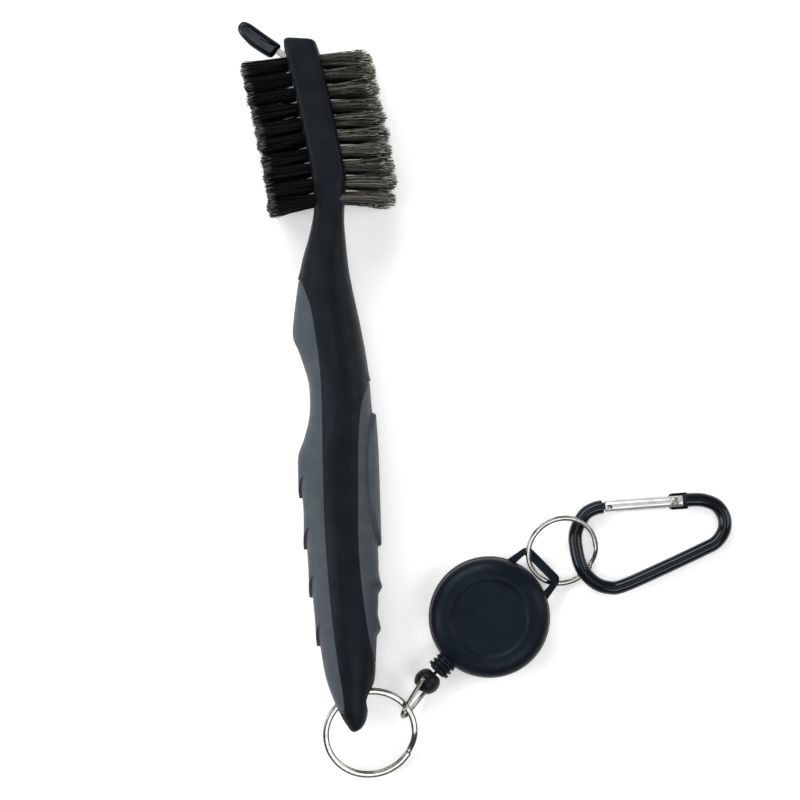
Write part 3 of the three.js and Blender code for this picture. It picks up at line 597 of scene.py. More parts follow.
def make_core():
    """The black core with a sunken bed on each side for the rubber."""
    steps = [e + d for span in (FINGER_SPAN, THUMB_SPAN) for e in span for d in (-0.04, 0.04)]
    tip = [0, 0.08, 0.2, 0.45]
    head = [HEAD_TOP - d for d in (1.0, 0.8, 0.6, 0.4, 0.22, 0.1, 0.03, 0)]
    plain = np.arange(0.8, HEAD_TOP - 1.3, 0.9)
    y = np.unique(np.concatenate([plain, steps, tip, head]))[:, None]
    on_finger = ((y > FINGER_SPAN[0]) & (y < FINGER_SPAN[1])).astype(float)
    on_thumb = ((y > THUMB_SPAN[0]) & (y < THUMB_SPAN[1])).astype(float)
    finger, thumb = finger_angle(y), thumb_angle(y)
    lip = LIP / np.maximum(half_width(y), 3)

    top = lerp(thumb + lip, finger - lip, np.linspace(0, 1, 34)[None])
    turn, drop = 1 - np.cos(QUARTER[:-1])[None], LIP * (1 - np.sin(QUARTER[:-1]))[None]
    half_angles = np.concatenate([thumb + lip * turn, top, (finger - lip * turn)[:, ::-1]], 1)
    half_insets = np.concatenate([drop * on_thumb, np.zeros_like(top),
                                  drop[:, ::-1] * on_finger], 1)
    bed = lerp(finger, 2 * math.pi - finger, np.linspace(0, 1, 40)[None])
    thumb_bed = lerp(2 * math.pi - thumb, 2 * math.pi + thumb, np.linspace(0, 1, 34)[None])
    angles = np.concatenate([half_angles, bed, 2 * math.pi - half_angles[:, ::-1], thumb_bed], 1)
    insets = np.concatenate([
        half_insets, np.full_like(bed, RUBBER_DEPTH) * on_finger,
        half_insets[:, ::-1], np.full_like(thumb_bed, RUBBER_DEPTH) * on_thumb], 1)
    rings = brush_surface(np.broadcast_to(y, angles.shape), angles, insets,
                          shoulder(y, angles, FINGER_SPAN[1], math.pi)
                          + shoulder(y, angles, THUMB_SPAN[1], 0.0))
    middle = section_sizes(y, 0.0)[0]
    slope = HEAD_SLOPE["rise"] * smoothstep(y, HEAD_SLOPE["from"], HEAD_TOP)
    rings[..., 1] -= slope * (rings[..., 0] - middle)
    core = raw_object("handle_core_body", *skin(rings))

    for cutter in ((tip_hole(),), *pick_recess(), (tuft_holes(),)):
        cut(core, *cutter)
    finish_piece(core, CORE, "brush", "core_plastic", "handle_core", angle=40)


def tip_hole():
    path = [[x, TIP_HOLE["y"], BRUSH_Z] for x in (-20, 0, 20)]
    return tube(path, round_section(TIP_HOLE["radius"], 48))


# ---------------- pick outline and recess
PICK = {"width": 3.4, "reach": 15.4, "heading": math.radians(135.6), "fold": math.radians(128),
        "side_room": 0.6, "edge_room": 0.5, "hub": 3.5, "tang": 0.7}


def pick_outline(grow=0.0):
    reach = PICK["reach"]
    return [[2.9 - grow, -0.6 - grow], [8, -0.1 - grow], [13, 0.3 - grow],
            [14.7 + grow / 2, 0.8 - grow], [reach + grow, 1.8],
            [reach - 0.3 + grow, 3.5 + grow / 2], [13.6, 4.4 + grow], [9.4, 4.9 + grow],
            [5, 4.3 + grow], [2.9 - grow, 3.8 + grow]]


def pick_frame(turn=0.0):
    a = PICK["heading"] + turn
    return basis(PICK_PIVOT, [math.cos(a), math.sin(a), 0], Z_AXIS)


def pick_recess():
    """The pick's own shape, grown and turned through its fold, and the round room at its hub."""
    half = PICK["width"] / 2 + PICK["side_room"]
    swept = plate(filleted(pick_outline(PICK["edge_room"]), 0.6, 3, True), -half, half, 0.3)
    out = [(swept, pick_frame(PICK["fold"] * share)) for share in np.linspace(0, 1, 9)]
    hub = PICK["hub"]
    out.append((turned(filleted(rectangle(0, -half, hub, half), 0.3, 3), 48), pick_frame()))
    return out


# ---------------- rubber grips
END_GAP, END_ROUND, BED_GAP = 0.06, 0.5, 0.12
POINTS_ACROSS, POINTS_BEHIND = 110, 24


def grip_mesh(span, seam, centre, relief):
    """One rubber grip: a skin round one side with rounded lips at the seams and a hidden back.
    relief(v, s) is its raised pattern, s from 0 at the side to 1 at the seam. The pattern
    sweeps up away from the side: by relief.sweep millimetres at relief.swept of the way."""
    first, last = span[0] + END_GAP, span[1] - END_GAP
    ends = np.array([0, 0.03, 0.1, 0.25, 0.5])
    lows = [edge + d for edge in relief.edges for d in (-0.5, -0.16, -0.05, 0.05, 0.16, 0.5)]
    v = np.arange(first + 0.9, last - 0.9, 0.55)
    v = [x for x in v if all(abs(x - low) > 0.3 for low in lows)]
    v = np.unique(np.concatenate([v, lows, first + ends, last - ends]))
    v = v[(v >= first) & (v <= last)][:, None]

    s_outer = np.linspace(-1, 1, POINTS_ACROSS)
    lip_s = np.ones(4)
    s = np.concatenate([-lip_s, s_outer, lip_s, np.linspace(1, -1, POINTS_BEHIND)])[None]
    kind = np.concatenate([0 * lip_s, np.ones(POINTS_ACROSS), 0 * lip_s,
                           np.full(POINTS_BEHIND, 2)])  # 0 lip, 1 outside, 2 hidden back
    theta = np.concatenate([QUARTER[:-1], np.zeros(POINTS_ACROSS), QUARTER[:-1][::-1],
                            np.zeros(POINTS_BEHIND)])[None]
    inset = np.where(kind == 0, LIP * (1 - np.sin(theta)), 0) + np.where(
        kind == 2, RUBBER_DEPTH - BED_GAP, 0)
    middle = (span[0] + span[1]) / 2
    env = 1 - smoothstep(np.abs(v - middle), (span[1] - span[0]) / 2 - relief.fade,
                         (span[1] - span[0]) / 2 - 1)
    rise = relief.sweep * smoothstep(np.abs(s), -0.6 * relief.swept, relief.swept)
    rise = rise - relief.sweep * smoothstep(0.0, -0.6 * relief.swept, relief.swept)
    y = np.clip(v + rise * env, first, last)
    size = np.maximum(half_width(y), 3)
    reach = np.abs(centre - seam(y)) - SEAM_GAP / size - LIP / size
    lip_angle = (np.where(kind == 0, np.cos(theta), 0) + (kind == 2)) * LIP / size
    angle = centre + s * reach + np.sign(s) * lip_angle
    end = np.clip(np.minimum(v - first, last - v), 0, END_ROUND)
    round_end = END_ROUND - np.sqrt(END_ROUND ** 2 - (END_ROUND - end) ** 2)
    height = np.where(kind == 2, 0, relief(v, np.abs(s)))
    inset = np.broadcast_to(inset, angle.shape) + np.where(kind == 2, 0, round_end)
    return skin(brush_surface(y, angle, inset, height))


class ScaleRelief:
    """Overlapping scales down the finger side, each thickest at its lower edge."""
    tops = [74, 62.6, 49, 36.2]
    edges = [62.6, 49, 36.2, 23.2]
    height, sweep, swept, fade = 0.85, 9.0, 0.5, 15.0

    def __call__(self, v, s):
        out = np.zeros(np.broadcast_shapes(v.shape, s.shape))
        for top, low in zip(self.tops, self.edges):
            share = np.clip((top - v) / (top - low), 0, 1)
            out = out + np.where((v > low) & (v <= top), self.height * share ** 2, 0)
        return out * (1 - smoothstep(s, 0.12, 0.62))


class PadRelief:
    """Raised oval thumb pad with two small fins under it."""
    middle, half_long, half_across = 66.1, 17.5, 0.66
    fin_height, fin_rise, fin_fall = 0.95, 4.4, 1.6
    edges = [48.6, 83.6, 37.6, 26.4]
    height, sweep, swept, fade = 1.0, 4.0, 0.8, 9.0

    def __call__(self, v, s):
        oval = np.hypot((v - self.middle) / self.half_long, s / self.half_across)
        pad = self.height * (1 - smoothstep(oval, 0.975, 1.02))
        fins = 0
        for low in self.edges[2:]:
            rise = np.clip((low + self.fin_rise - v) / self.fin_rise, 0, 1) * (v > low)
            fall = np.clip((v - low + self.fin_fall) / self.fin_fall, 0, 1) * (v <= low)
            share = (rise ** 1.5 + fall) * (1 - smoothstep(s, 0.3, 0.85))
            fins = fins + self.fin_height * share
        return np.maximum(pad, fins)


def make_grips():
    finger = grip_mesh(FINGER_SPAN, finger_angle, math.pi, ScaleRelief())
    thumb = grip_mesh(THUMB_SPAN, thumb_angle, 0.0, PadRelief())
    for node, shape in (("finger_grip", finger), ("thumb_grip", thumb)):
        add_piece(f"{node}_skin", shape, None, RUBBER, "brush", "grip_rubber", node, angle=28)


# ---------------- bristles
HEAD_BOTTOM = 141.2
ROW_COUNT = 10
ROW_PITCH = 4.05
TUFT_COLUMNS = (-5.8, 0, 5.8)
OPEN_ROWS = 4  # top nylon rows without a middle tuft
TUFT_TIPS = {"outer": 6.9, "outer_half": 3.5, "middle_half": 3.6}
TUFT_HOLE = {"radius": 1.4, "above": 3, "depth": 1.5}
ROOT_DEPTH, OPEN_ROOT = 1.6, 1.05
SPREAD_LIMIT = (-2.6, 3.0)
NYLON_TILT = 0.119
WIRE_TILT = {"first": -0.6, "more": 3.2}


def row_frame(side, i):
    """Frame of a tuft row: X along the head, Y out along the bristles, Z up."""
    y = HEAD_BOTTOM + i * ROW_PITCH
    foot = [float((finger_side if side < 0 else thumb_side)(y)), y, BRUSH_Z]
    if side < 0:
        turn = math.pi + NYLON_TILT
    else:
        turn = math.radians(WIRE_TILT["first"] + WIRE_TILT["more"] * i / (ROW_COUNT - 1))
    turn -= math.pi / 2
    return basis(foot, [math.cos(turn), math.sin(turn), 0], Z_AXIS)


def row_columns(side, i):
    skip = side < 0 and i >= ROW_COUNT - OPEN_ROWS
    return [z for z in TUFT_COLUMNS if z or not skip]


def tuft_holes():
    """All the small blind bores of the tufts as one mesh."""
    points, faces, start = [], [], 0
    for side in (-1, 1):
        for i in range(ROW_COUNT):
            for z in row_columns(side, i):
                path = [[0, y, z] for y in (-TUFT_HOLE["above"], -1, TUFT_HOLE["depth"])]
                bore, quads = tube(path, round_section(TUFT_HOLE["radius"], 16))
                points.append(moved(bore, row_frame(side, i)))
                faces += [[v + start for v in face] for face in quads]
                start += len(bore)
    return np.concatenate(points), faces


BRISTLE = {
    "nylon": {"count": 130, "radius": 0.1, "root": 1.3, "tip": 1.9, "power": 0.6,
              "length": 12.25, "ragged": 0.3, "bend": 0.3, "wave": 0.03, "dome": 0.9,
              "lean": 0.0, "sway": 0.3},
    "wire": {"count": 165, "radius": 0.075, "root": 1.35, "tip": 1.8, "power": 0.9,
             "length": 12.6, "ragged": 0.6, "bend": 0.55, "wave": 0.14, "dome": 2.0,
             "lean": 0.7, "sway": 0.35},
}
BRISTLE_SEGMENTS = 9
BRISTLE_SIDES = 4


def tuft_filaments(z, kind, is_open):
    """Centrelines of one tuft, standing on its foot along +Y: (filaments, stations, 3).
    Tufts of the open rows are tighter at the root, so that light shows between them."""
    spec = BRISTLE[kind]
    n = spec["count"]
    r, a = np.sqrt(RNG.uniform(0, 1, n)), RNG.uniform(0, 2 * math.pi, n)
    u, w = r * np.cos(a), r * np.sin(a)
    tip_z = 0 if z == 0 else math.copysign(TUFT_TIPS["outer"], z)
    tip_half = TUFT_TIPS["middle_half" if z == 0 else "outer_half"]
    length = (spec["length"] + RNG.normal(0, 0.2) - spec["dome"] * r ** 3
              + np.clip(RNG.normal(0, spec["ragged"], n), -1.5, 0.8))
    t = np.linspace(0, 1, BRISTLE_SEGMENTS + 1)[None]
    grow = t ** spec["power"]
    root = OPEN_ROOT if is_open else spec["root"]
    x = u[:, None] * lerp(root, spec["tip"], grow)
    z_at = lerp(z, tip_z, t) + w[:, None] * lerp(root, tip_half, t ** 0.85)
    y = (length[:, None] + ROOT_DEPTH) * t - ROOT_DEPTH
    x = x + RNG.normal(spec["lean"], spec["sway"]) * t ** 1.6
    bend = RNG.normal(0, spec["bend"], (n, 2))
    x = x + bend[:, :1] * t ** 2
    z_at = z_at + bend[:, 1:] * t ** 2
    phase = RNG.uniform(0, 2 * math.pi, (n, 1))
    x = x + spec["wave"] * np.sin(t * 22 + phase) * t
    z_at = z_at + spec["wave"] * np.cos(t * 19 + phase) * t
    limit = BRUSH_Z - 0.15
    return np.stack([np.clip(x, *SPREAD_LIMIT), y, np.clip(z_at, -limit, limit)], -1)


def filament_mesh(lines, radius, sides=BRISTLE_SIDES):
    """Thin closed prisms along centrelines, flat-cut at the tip."""
    n, stations = lines.shape[:2]
    ahead = np.gradient(lines, axis=1)
    ahead /= np.linalg.norm(ahead, axis=2)[..., None]
    side = np.cross(Z_AXIS, ahead)
    side /= np.linalg.norm(side, axis=2)[..., None]
    over = np.cross(ahead, side)
    spin = RNG.uniform(0, 2 * math.pi, (n, 1, 1, 1))
    a = np.arange(sides)[None, None, :, None] * 2 * math.pi / sides + spin
    points = lines[:, :, None] + radius * (np.cos(a) * side[:, :, None]
                                           + np.sin(a) * over[:, :, None])
    block = stations * sides
    one = np.array(grid_faces(stations, sides))
    quads = (one[None] + np.arange(n)[:, None, None] * block).reshape(-1, 4).tolist()
    cap = np.arange(sides)
    starts = np.arange(n)[:, None] * block
    quads += (starts + cap[::-1]).tolist() + (starts + block - sides + cap).tolist()
    return points.reshape(-1, 3), quads


def make_row(side, i):
    kind, mat = ("nylon", NYLON) if side < 0 else ("wire", WIRE)
    columns = row_columns(side, i)
    number = f"{kind}_row_{ROW_COUNT - i:02d}"
    groups = [(number, columns)] if 0 in columns else [
        (f"{number}_{'low' if z < 0 else 'high'}", [z]) for z in columns]
    for name, zs in groups:
        lines = np.concatenate([tuft_filaments(z, kind, len(groups) > 1) for z in zs])
        points, faces = filament_mesh(lines, BRISTLE[kind]["radius"])
        obj = raw_object(f"{name}_filaments", points, faces, row_frame(side, i))
        stations = np.arange(BRISTLE_SEGMENTS + 1)
        count, per = len(lines), len(stations) * BRISTLE_SIDES
        tone = np.repeat(RNG.uniform(0, 1, count) ** 2.4, per)
        # shine picks the filaments whose cut ends get a painted highlight
        shine = np.repeat(RNG.uniform(0, 1, count) > 0.45, per)
        at_tip = np.tile(np.repeat(stations == BRISTLE_SEGMENTS, BRISTLE_SIDES), count)
        for label, values in (("tone", tone), ("painted_tip_glint", at_tip * shine)):
            layer = obj.data.attributes.new(label, "FLOAT", "POINT")
            layer.data.foreach_set("value", values.astype(np.float32))
        finish_piece(obj, mat, "brush", kind, name, angle=60)


# ---------------- pick
def make_pick():
    half, tang = PICK["width"] / 2, PICK["tang"]
    outline = spline(filleted(pick_outline(), 1.2, 4, True), 96, closed=True)
    pick = raw_object("groove_pick_body", *plate(outline, -half, half, 1.25, 9), pick_frame())
    socket = filleted(rectangle(1.5, 0, 6.3, 2.2), 0.2, 2, True)
    cut(pick, plate(socket, -1, 1, 0.1), pick_frame())
    finish_piece(pick, GLOSS_BLACK, "pick", "black_anodised", "groove_pick", angle=40)

    eye = filleted(rectangle(0, -tang, 1.8, tang), 0.15, 2)
    obj = raw_object("pick_tang_plate", *turned(eye, 48), pick_frame())
    tail = filleted(rectangle(0.5, 0.3, 6, 1.9), 0.3, 3, True)
    join(obj, plate(tail, -tang, tang, 0.15), pick_frame())
    bore = tube([[0, 0, -3], [0, 0, 0], [0, 0, 3]], round_section(1.0, 24), up=(0, 1, 0))
    cut(obj, bore, pick_frame())
    finish_piece(obj, STEEL, "pick", "steel", "pick_tang")

    pin = filleted(rectangle(0, -6, 0.7, 6), 0.2, 3)
    add_piece("pick_pin_rod", turned(pin, 24), pick_frame(), STEEL, "brush", "steel", "pick_pin")


# ---------------- split rings
RING_AIR = 0.12
CLIMB = {"from": 328, "to": 357, "overlap": 30}  # degrees where one turn rises over the other


def split_ring(radius, wire):
    """Two turns of flat wire that climb past each other, with cut ends."""
    thick = (wire - RING_AIR) / 2
    turns = np.linspace(0, CLIMB["from"] * 2 + CLIMB["overlap"], 260)
    level = smoothstep(turns, CLIMB["from"], CLIMB["to"]) - 0.5
    a = np.radians(turns)
    path = np.stack([np.cos(a) * radius, np.sin(a) * radius, level * (thick + RING_AIR)], 1)
    return tube(path, flat_wire_section(wire, thick))


RINGS = {
    "handle_split_ring": {"joint": "bail_round_ring", "body": "handle_ring", "radius": 11.9,
                          "wire": 1.6, "towards": 110, "rise": 18},
    "case_split_ring": {"joint": "case_ring_turn", "body": "case_ring", "radius": 9.3,
                        "wire": 1.2, "towards": 120.5, "rise": 22.6},
}


def make_rings():
    for node, ring in RINGS.items():
        towards, rise = math.radians(ring["towards"]), math.radians(ring["rise"])
        axis = (math.sin(towards), -math.cos(towards), 0)
        tilt = np.array(Matrix.Rotation(rise, 4, Vector(axis)))
        tilt[:3, 3] = joint_point(ring["joint"])
        add_piece(f"{node}_wire", split_ring(ring["radius"], ring["wire"]), tilt, NICKEL,
                  ring["body"], "nickel", node, angle=50)


# ---------------- reel
CORD = {"z": 4.75, "radius": 0.45, "heading": math.radians(221.6)}
STRAP = {"heading": math.radians(40.7), "reach": 20.9, "half": 6.6, "bar": 2.4, "leg": 1.4,
         "low": 3.15, "high": 4.5, "root": 13.5}
REEL = {"radius": 16.2, "front": 15.95, "wall": 1.4, "split": 4.7, "gap": 0.1}
OUTLET = {"boss": 2.85, "bore": 1.1}


def reel_centre():
    return joint_point("spool_spin") * (1, 1, 0)


def reel_frame(turn=0.0):
    return basis(reel_centre(), [math.cos(turn), math.sin(turn), 0], Z_AXIS)


def outlet_bar(radius, start, end):
    """A round bar along the cord's line through the rim of the case."""
    return tube([[reach, 0, CORD["z"]] for reach in np.linspace(start, end, 3)],
                round_section(radius, 40))


def add_outlet(shell, low, high):
    """Adds the half of the cord's outlet that this shell carries, without what lies between
    low and high, and bores it."""
    along, rim = reel_frame(CORD["heading"]), REEL["radius"]
    boss = raw_object("outlet", *outlet_bar(OUTLET["boss"], rim - REEL["wall"] + 0.4, rim + 0.08),
                      along)
    cut(boss, plate(rectangle(-30, -30, 30, 30), low, high, 0.001, 1), reel_frame())
    combine(shell, boss, "UNION")
    cut(shell, outlet_bar(OUTLET["bore"], 12, rim + 2), along)


def make_reel():
    r, split, gap = REEL["radius"], REEL["split"], REEL["gap"]
    inside = r - REEL["wall"]
    low_edge = split - gap / 2
    cup = filleted([
        [0, 0], [8, 0], [r - 1.3, 0], [r, 1.3], [r, low_edge - 0.2], [r - 0.2, low_edge],
        [inside, low_edge], [inside, 1.3], [2, 1.3], [2, 0.6], [0, 0.6]], 0.35, 4)
    back = raw_object("reel_back_shell", *turned(cup, 160), reel_frame())
    strap_frame = reel_frame(STRAP["heading"])
    reach, half = STRAP["reach"], STRAP["half"]
    outer = filleted([[STRAP["root"], -half - 1.1], [reach - 1.2, -half], [reach, -half + 1.2],
                      [reach, half - 1.2], [reach - 1.2, half], [STRAP["root"], half + 1.1]],
                     0.5, 4, True)
    strap = raw_object("strap", *plate(outer, STRAP["low"], STRAP["high"], 0.3), strap_frame)
    inner = filleted([[5, STRAP["leg"] - half - 0.5], [reach - STRAP["bar"], STRAP["leg"] - half],
                      [reach - STRAP["bar"], half - STRAP["leg"]], [5, half - STRAP["leg"] + 0.5]],
                     0.5, 4, True)
    cut(strap, plate(inner, -1, 9, 0.01, 1), strap_frame)
    cut(strap, turned(rectangle(0, -5, inside + 0.5, 15)), reel_frame())
    combine(back, strap, "UNION")
    add_outlet(back, low_edge, 20)
    finish_piece(back, CASE, "reel", "case_plastic", "reel_back_case", angle=30)

    f = REEL["front"]
    high_edge = split + gap / 2
    dome = filleted([
        [0, 9.5], [9.7, 9.5], [10.25, 9.9], [10.6, 10], [11.6, 9.93], [13.2, 9.55],
        [14.7, 8.75], [15.6, 7.7], [f, 6.4], [f, high_edge + 0.15], [f - 0.15, high_edge],
        [inside, high_edge], [inside, 7.4], [13.4, 8.2], [3.2, 8.3], [3.2, 7.8], [2, 7.8],
        [2, 9], [0, 9]], 0.5, 5)
    front = raw_object("reel_front_shell", *turned(dome, 160), reel_frame())
    add_outlet(front, -10, high_edge)
    finish_piece(front, CASE, "reel", "case_plastic", "reel_front_cover", angle=30)


# ---------------- cord, stopper, ball and bail
BALL = {"reach": 23.8, "radius": 3.45, "flat": 2.7, "mouth": 2.05}
STOPPER_FROM = 16.3
WINDING_RADIUS = 11.7
CORD_FIT, BORE_ROOM = 0.3, 0.25
CORD_REACH = {"bend": 14.6, "straight": 15.4, "knot": 24.1}
BAIL = {"heading": np.array([-0.631, -0.764, 0.137]), "half": 4.15, "loop": 2.5, "length": 11.4,
        "elbow": 0.9, "wire": 0.55, "hole": 0.72}


def cord_line(reach):
    """A point on the cord's straight line, measured from the middle of the reel."""
    a = CORD["heading"]
    return reel_centre() + np.array([math.cos(a) * reach, math.sin(a) * reach, CORD["z"]])


def make_cord():
    """Cord from the winding to the knot in the ball."""
    leave = WINDING_RADIUS + CORD_FIT + CORD["radius"]
    a = CORD["heading"] + math.acos(leave / REEL["radius"])
    start = reel_centre() + np.array([math.cos(a) * leave, math.sin(a) * leave, CORD["z"]])
    bend, straight = cord_line(CORD_REACH["bend"]), CORD_REACH["straight"]
    inner = spline([start, lerp(start, bend, 0.6), bend, cord_line(straight)], 16)
    outer = [cord_line(x) for x in np.linspace(straight + 0.1, CORD_REACH["knot"], 60)]
    section = round_section(CORD["radius"], 16)
    obj = add_piece("pull_cord", tube(np.concatenate([inner, outer]), section), None, BRAID,
                    None, "cord", "cord_lead", "cord_feed", angle=60)
    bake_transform(obj)


def cord_frame(reach):
    """Local Z along the cord, away from the reel."""
    a = CORD["heading"]
    return basis(cord_line(reach), (0, 0, 1), [math.cos(a), math.sin(a), 0])


def make_stopper():
    bore = CORD["radius"] + BORE_ROOM
    profile = [[bore, 0.05], [2.55, 0.05], [3.0, 0.2], [3.05, 0.75], [2.45, 0.95], [2.4, 1.25],
               [2.95, 1.4], [3.15, 1.75], [2.95, 2.1], [2.45, 2.25], [2.45, 2.5], [3.1, 2.65],
               [3.3, 3.05], [3.1, 3.45], [2.4, 3.6], [2.2, 3.95], [bore, 3.95]]
    boot = ring_turned(filleted(profile, 0.14, 3, True), 64)
    add_piece("cord_stopper_boot", boot, cord_frame(STOPPER_FROM), SOFT_BLACK, "stopper",
              "soft_black", "cord_stopper", angle=45)


def make_ball():
    r, flat = BALL["radius"], BALL["flat"]
    bore = CORD["radius"] + BORE_ROOM
    mouth = BALL["mouth"]
    start = -math.sqrt(r * r - mouth ** 2)
    low = [[bore, start - 0.02], [mouth - 0.1, start - 0.02], [mouth, start + 0.1]]
    around = [[r * math.sin(a), -r * math.cos(a)]
              for a in np.linspace(math.asin((mouth + 0.15) / r), math.acos(-flat / r), 40)]
    # a moulding line round the middle
    around = [[x - 0.07 if abs(z) < 0.06 else x, z] for x, z in around]
    edge = around[-1][0]
    profile = low + around + [[edge - 0.25, flat + 0.02], [1.7, flat + 0.02], [1.55, flat - 0.2],
                              [1.55, 0.0], [bore, -0.4]]
    obj = raw_object("swivel_ball_shell", *ring_turned(filleted(profile, 0.06, 2, True), 72),
                     cord_frame(BALL["reach"]))
    pivot = joint_axis("bail_pivot")
    centre = joint_point("bail_pivot")
    for sign in (-1, 1):
        path = [centre + pivot * sign * d for d in (1.95, 3, 5)]
        cut(obj, tube(path, round_section(BAIL["hole"], 24), up=(1, 0, 0)))
    finish_piece(obj, SOFT_BLACK, "ball", "soft_black", "swivel_ball", angle=35)


def flat_arc(x, y, radius, start, end, steps):
    a = np.radians(np.linspace(start, end, steps + 1))
    return np.stack([x + radius * np.cos(a), y + radius * np.sin(a)], 1)


def make_bail():
    """Bent wire: its two inturned ends sit in the ball and its loop holds the split ring."""
    pivot = joint_axis("bail_pivot")
    heading = BAIL["heading"] - pivot * np.dot(BAIL["heading"], pivot)
    matrix = basis(joint_point("bail_pivot"), heading, np.cross(heading, pivot))
    half, loop, elbow = BAIL["half"], BAIL["loop"], BAIL["elbow"]
    lower = np.concatenate([[[0, -2.2], [0, -2.8]],
                            flat_arc(elbow, elbow - half, elbow, 180, 270, 10)])
    tip = flat_arc(BAIL["length"] - loop, 0, loop, -72, 72, 24)
    flat = np.concatenate([lower, tip, lower[::-1] * (1, -1)])
    along = distances(flat)
    s = np.linspace(0, along[-1], 150)
    path = np.stack([np.interp(s, along, flat[:, 0]), np.interp(s, along, flat[:, 1]), 0 * s], 1)
    add_piece("cord_bail_wire", rounded_rod(path, BAIL["wire"], 18), matrix, NICKEL, "bail",
              "nickel", "cord_bail", angle=50)


# ---------------- carabiner
CLIP = {"rod": 1.83, "slope_x": -0.022, "slope_y": -0.039}
GATE = {"radius": 1.72, "wall": 0.5, "front": -18.6, "back": 2.2, "slot": 1.9}
RIVET_HOLE = 1.05
LATCH = {"x": -17.5, "y": -0.35, "hole": 0.7, "pin": 0.4}
SPRING = {"from": -12.5, "length": 8.5, "turns": 5, "radius": 0.75, "wire": 0.16}


def clip_frame():
    turn = Matrix.Rotation(CLIP["slope_y"], 4, "X") @ Matrix.Rotation(-CLIP["slope_x"], 4, "Y")
    matrix = np.array(turn)
    matrix[:3, 3] = joint_point("gate_open")
    return matrix


def drill(obj, x, y, radius, matrix):
    path = [[x, y, z] for z in (-4, 0, 4)]
    cut(obj, tube(path, round_section(radius, 28), up=(0, 1, 0)), matrix)


def make_clip_body():
    matrix = clip_frame()
    bends = [[2.6, 0.1], [5, 0.1], [8, -0.3], [11.3, -2], [13, -5.2], [12.7, -8.6],
             [10.4, -11.6], [6.5, -13.4], [-5, -17.8], [-15.1, -21.4], [-19, -21.7],
             [-22.9, -20], [-26.1, -15.8], [-27.2, -9.6], [-26.7, -5.7], [-24.3, -1.9],
             [-21.6, -0.4], [-19.2, 0]]
    path = spline([[x, y, 0] for x, y in bends], 420)
    body = raw_object("carabiner_frame", *rounded_rod(path, CLIP["rod"], 40, lip=0.3), matrix)
    thick = GATE["slot"] / 2 - 0.3
    tongue = filleted([[-1.9, -1.2], [-1, -2.2], [3.6, -2.2], [3.6, 2.2], [-1, 2.2], [-1.9, 1.2]],
                      0.5, 4, True)
    join(body, plate(tongue, -thick, thick, 0.12), matrix)
    blade = filleted([[-20.5, -1], [-19, -1], [-18.2, 0.35], [-16.9, 0.35], [-16.9, -0.7],
                      [-16.2, -0.7], [-16.2, 1], [-20.5, 1]], 0.12, 2, True)
    join(body, plate(blade, -thick, thick, 0.08), matrix)
    drill(body, 0, 0, RIVET_HOLE, matrix)
    finish_piece(body, GLOSS_BLACK, "carabiner", "black_anodised", "carabiner_body", angle=35)


def along_x(shape, matrix):
    """Turned shapes stand on Z; this lays them along X."""
    lay = basis((0, 0, 0), (0, 0, 1), (1, 0, 0))
    points, faces = shape
    return moved(moved(points, lay), matrix), faces


def make_gate():
    matrix = clip_frame()
    r, inner = GATE["radius"], GATE["radius"] - GATE["wall"]
    front, back, slot = GATE["front"], GATE["back"], GATE["slot"] / 2
    profile = filleted(rectangle(inner, front, r, back), 0.16, 4, True)
    gate = raw_object("carabiner_gate_tube", *along_x(ring_turned(profile, 72), matrix))
    for low, high in ((front - 1, -15.6), (-2.4, back + 1)):
        outline = filleted(rectangle(low, -3, high, 3), 0.3, 3, True)
        cut(gate, plate(outline, -slot, slot, 0.001, 1), matrix)
    drill(gate, 0, 0, RIVET_HOLE, matrix)
    drill(gate, LATCH["x"], LATCH["y"], LATCH["hole"], matrix)
    finish_piece(gate, GATE_SILVER, "gate", "gate_silver", "carabiner_gate", angle=35)

    rivet = filleted([[0, -2.12], [0.75, -2.05], [1.2, -1.78], [1.2, -1.66], [0.75, -1.55],
                      [0.75, 1.55], [1.2, 1.66], [1.2, 1.78], [0.75, 2.05], [0, 2.12]], 0.12, 3)
    add_piece("gate_rivet_pin", turned(rivet, 48), matrix, STEEL, "carabiner", "steel",
              "gate_rivet", angle=40)

    pin = filleted(rectangle(0, -1.6, LATCH["pin"], 1.6), 0.12, 3)
    here = matrix.copy()
    here[:3, 3] = moved([LATCH["x"], LATCH["y"], 0], matrix)
    add_piece("gate_latch_pin_rod", turned(pin, 24), here, STEEL, "gate", "steel",
              "gate_latch_pin", angle=40)

    t = np.linspace(0, 1, 200)
    a = t * SPRING["turns"] * 2 * math.pi
    path = np.stack([SPRING["from"] + SPRING["length"] * t, SPRING["radius"] * np.cos(a),
                     SPRING["radius"] * np.sin(a)], 1)
    coil = tube(path, round_section(SPRING["wire"], 10), up=(1, 0, 0))
    add_piece("gate_spring_coil", coil, matrix, STEEL, "gate", "steel", "gate_spring", angle=60)


# ---------------- hidden pieces kept from CAD
def dress_frame_nodes():
    for node, mat in (("reel_axle", STEEL), ("reel_spring", STEEL), ("reel_spool", SPOOL_WHITE),
                      ("cord_winding", BRAID), ("cord_end_knot", BRAID)):
        slots = NODES[node].data.materials
        slots.clear()
        slots.append(mat)


make_core()
make_grips()
for row_side in (-1, 1):
    for row in range(ROW_COUNT):
        make_row(row_side, row)
make_pick()
make_rings()
make_reel()
make_cord()
make_stopper()
make_ball()
make_bail()
make_clip_body()
make_gate()
dress_frame_nodes()


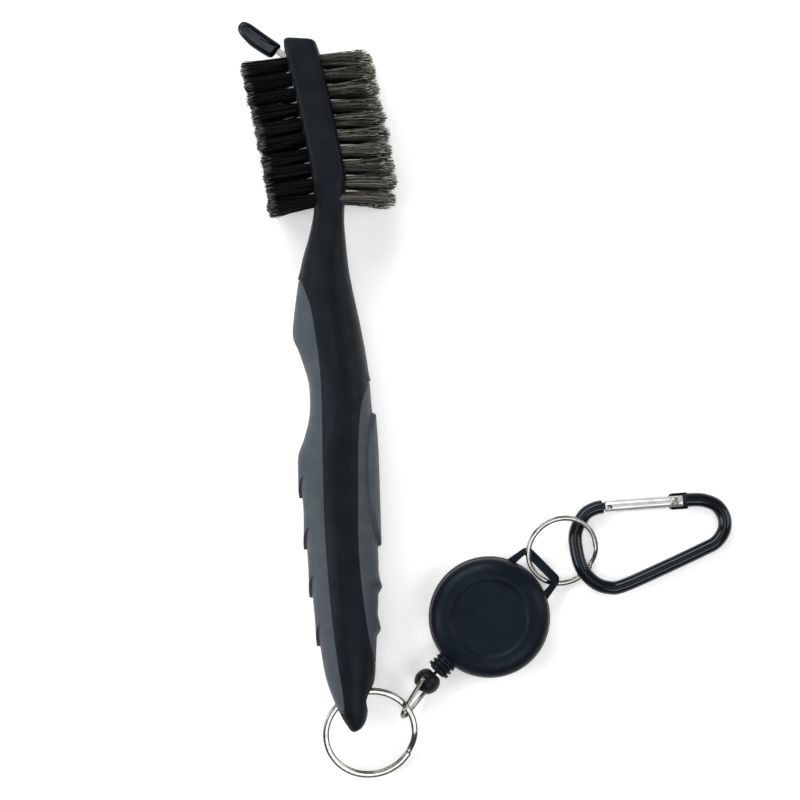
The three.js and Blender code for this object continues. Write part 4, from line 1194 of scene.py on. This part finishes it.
# ---------------- table, light and camera
TABLE = {"half": 6, "drop": 0.0002, "glow": 0.3}
WORLD_LIGHT = 0.13
SOFTBOXES = {  # place in metres, size in metres, watts
    "overhead_softbox": ((-0.1, 0.1, 1.7), (0.6, 0.6), 3),
    "top_softbox": ((-0.4, 0.85, 0.78), (1.1, 0.5), 12),
    "left_softbox": ((-0.95, -0.1, 0.6), (0.5, 0.9), 6.5),
    "right_softbox": ((0.95, 0.1, 0.6), (0.5, 0.9), 4.5),
    "low_softbox": ((0.3, -0.66, 0.9), (0.7, 0.4), 4),
}


def make_stage():
    floor_mat, tree, shader = new_material("pale_table", (0.86, 0.86, 0.86), 0.7)
    tone = remap(tree, noise(tree, 60, 3), 0.3, 0.7, 0, 1)
    color = mix_color(tree, tone, (0.87, 0.87, 0.87), (0.89, 0.89, 0.89))
    tree.links.new(color, shader.inputs["Base Color"])
    shader.inputs["Emission Color"].default_value = (1, 1, 1, 1)
    shader.inputs["Emission Strength"].default_value = TABLE["glow"]
    mesh = bpy.data.meshes.new("table")
    half = TABLE["half"]
    corners = [(-half, -half, 0), (half, -half, 0), (half, half, 0), (-half, half, 0)]
    mesh.from_pydata(corners, [], [(0, 1, 2, 3)])
    mesh.materials.append(floor_mat)
    table = bpy.data.objects.new("table", mesh)
    table.location.z = -TABLE["drop"]
    bpy.context.scene.collection.objects.link(table)


def soft_light(name, position, size, power):
    data = bpy.data.lights.new(name, "AREA")
    data.shape = "RECTANGLE"
    data.size, data.size_y = size
    data.energy = power
    light = bpy.data.objects.new(name, data)
    light.location = position
    light.rotation_euler = (Vector((0, 0, 0)) - Vector(position)).to_track_quat(
        "-Z", "Y").to_euler()
    bpy.context.scene.collection.objects.link(light)


def make_lights():
    world = bpy.data.worlds.new("studio")
    world.use_nodes = True
    background = world.node_tree.nodes["Background"]
    background.inputs["Color"].default_value = (1, 1, 1, 1)
    background.inputs["Strength"].default_value = WORLD_LIGHT
    bpy.context.scene.world = world
    for name, (position, size, power) in SOFTBOXES.items():
        soft_light(name, position, size, power)


VIEW = {"middle": (18.8, 86.85), "up": (0.0722, 0.9974, 0), "width": 212.0, "distance": 0.9}


def make_camera():
    data = bpy.data.cameras.new("camera")
    data.sensor_width = 36
    data.lens = data.sensor_width * VIEW["distance"] / (VIEW["width"] * MM)
    data.clip_start, data.clip_end = 0.01, 20
    camera = bpy.data.objects.new("camera", data)
    up = Vector(VIEW["up"]).normalized()
    right = up.cross(Vector((0, 0, 1)))
    turn = Matrix((right, up, (0, 0, 1))).transposed()
    camera.matrix_world = turn.to_4x4()
    place = (np.array([*VIEW["middle"], BRUSH_Z]) + ORIGIN) * MM
    camera.location = (place[0], place[1], place[2] + VIEW["distance"])
    bpy.context.scene.collection.objects.link(camera)
    bpy.context.scene.camera = camera
    bpy.context.scene.view_settings.view_transform = "Standard"


make_stage()
make_lights()
make_camera()
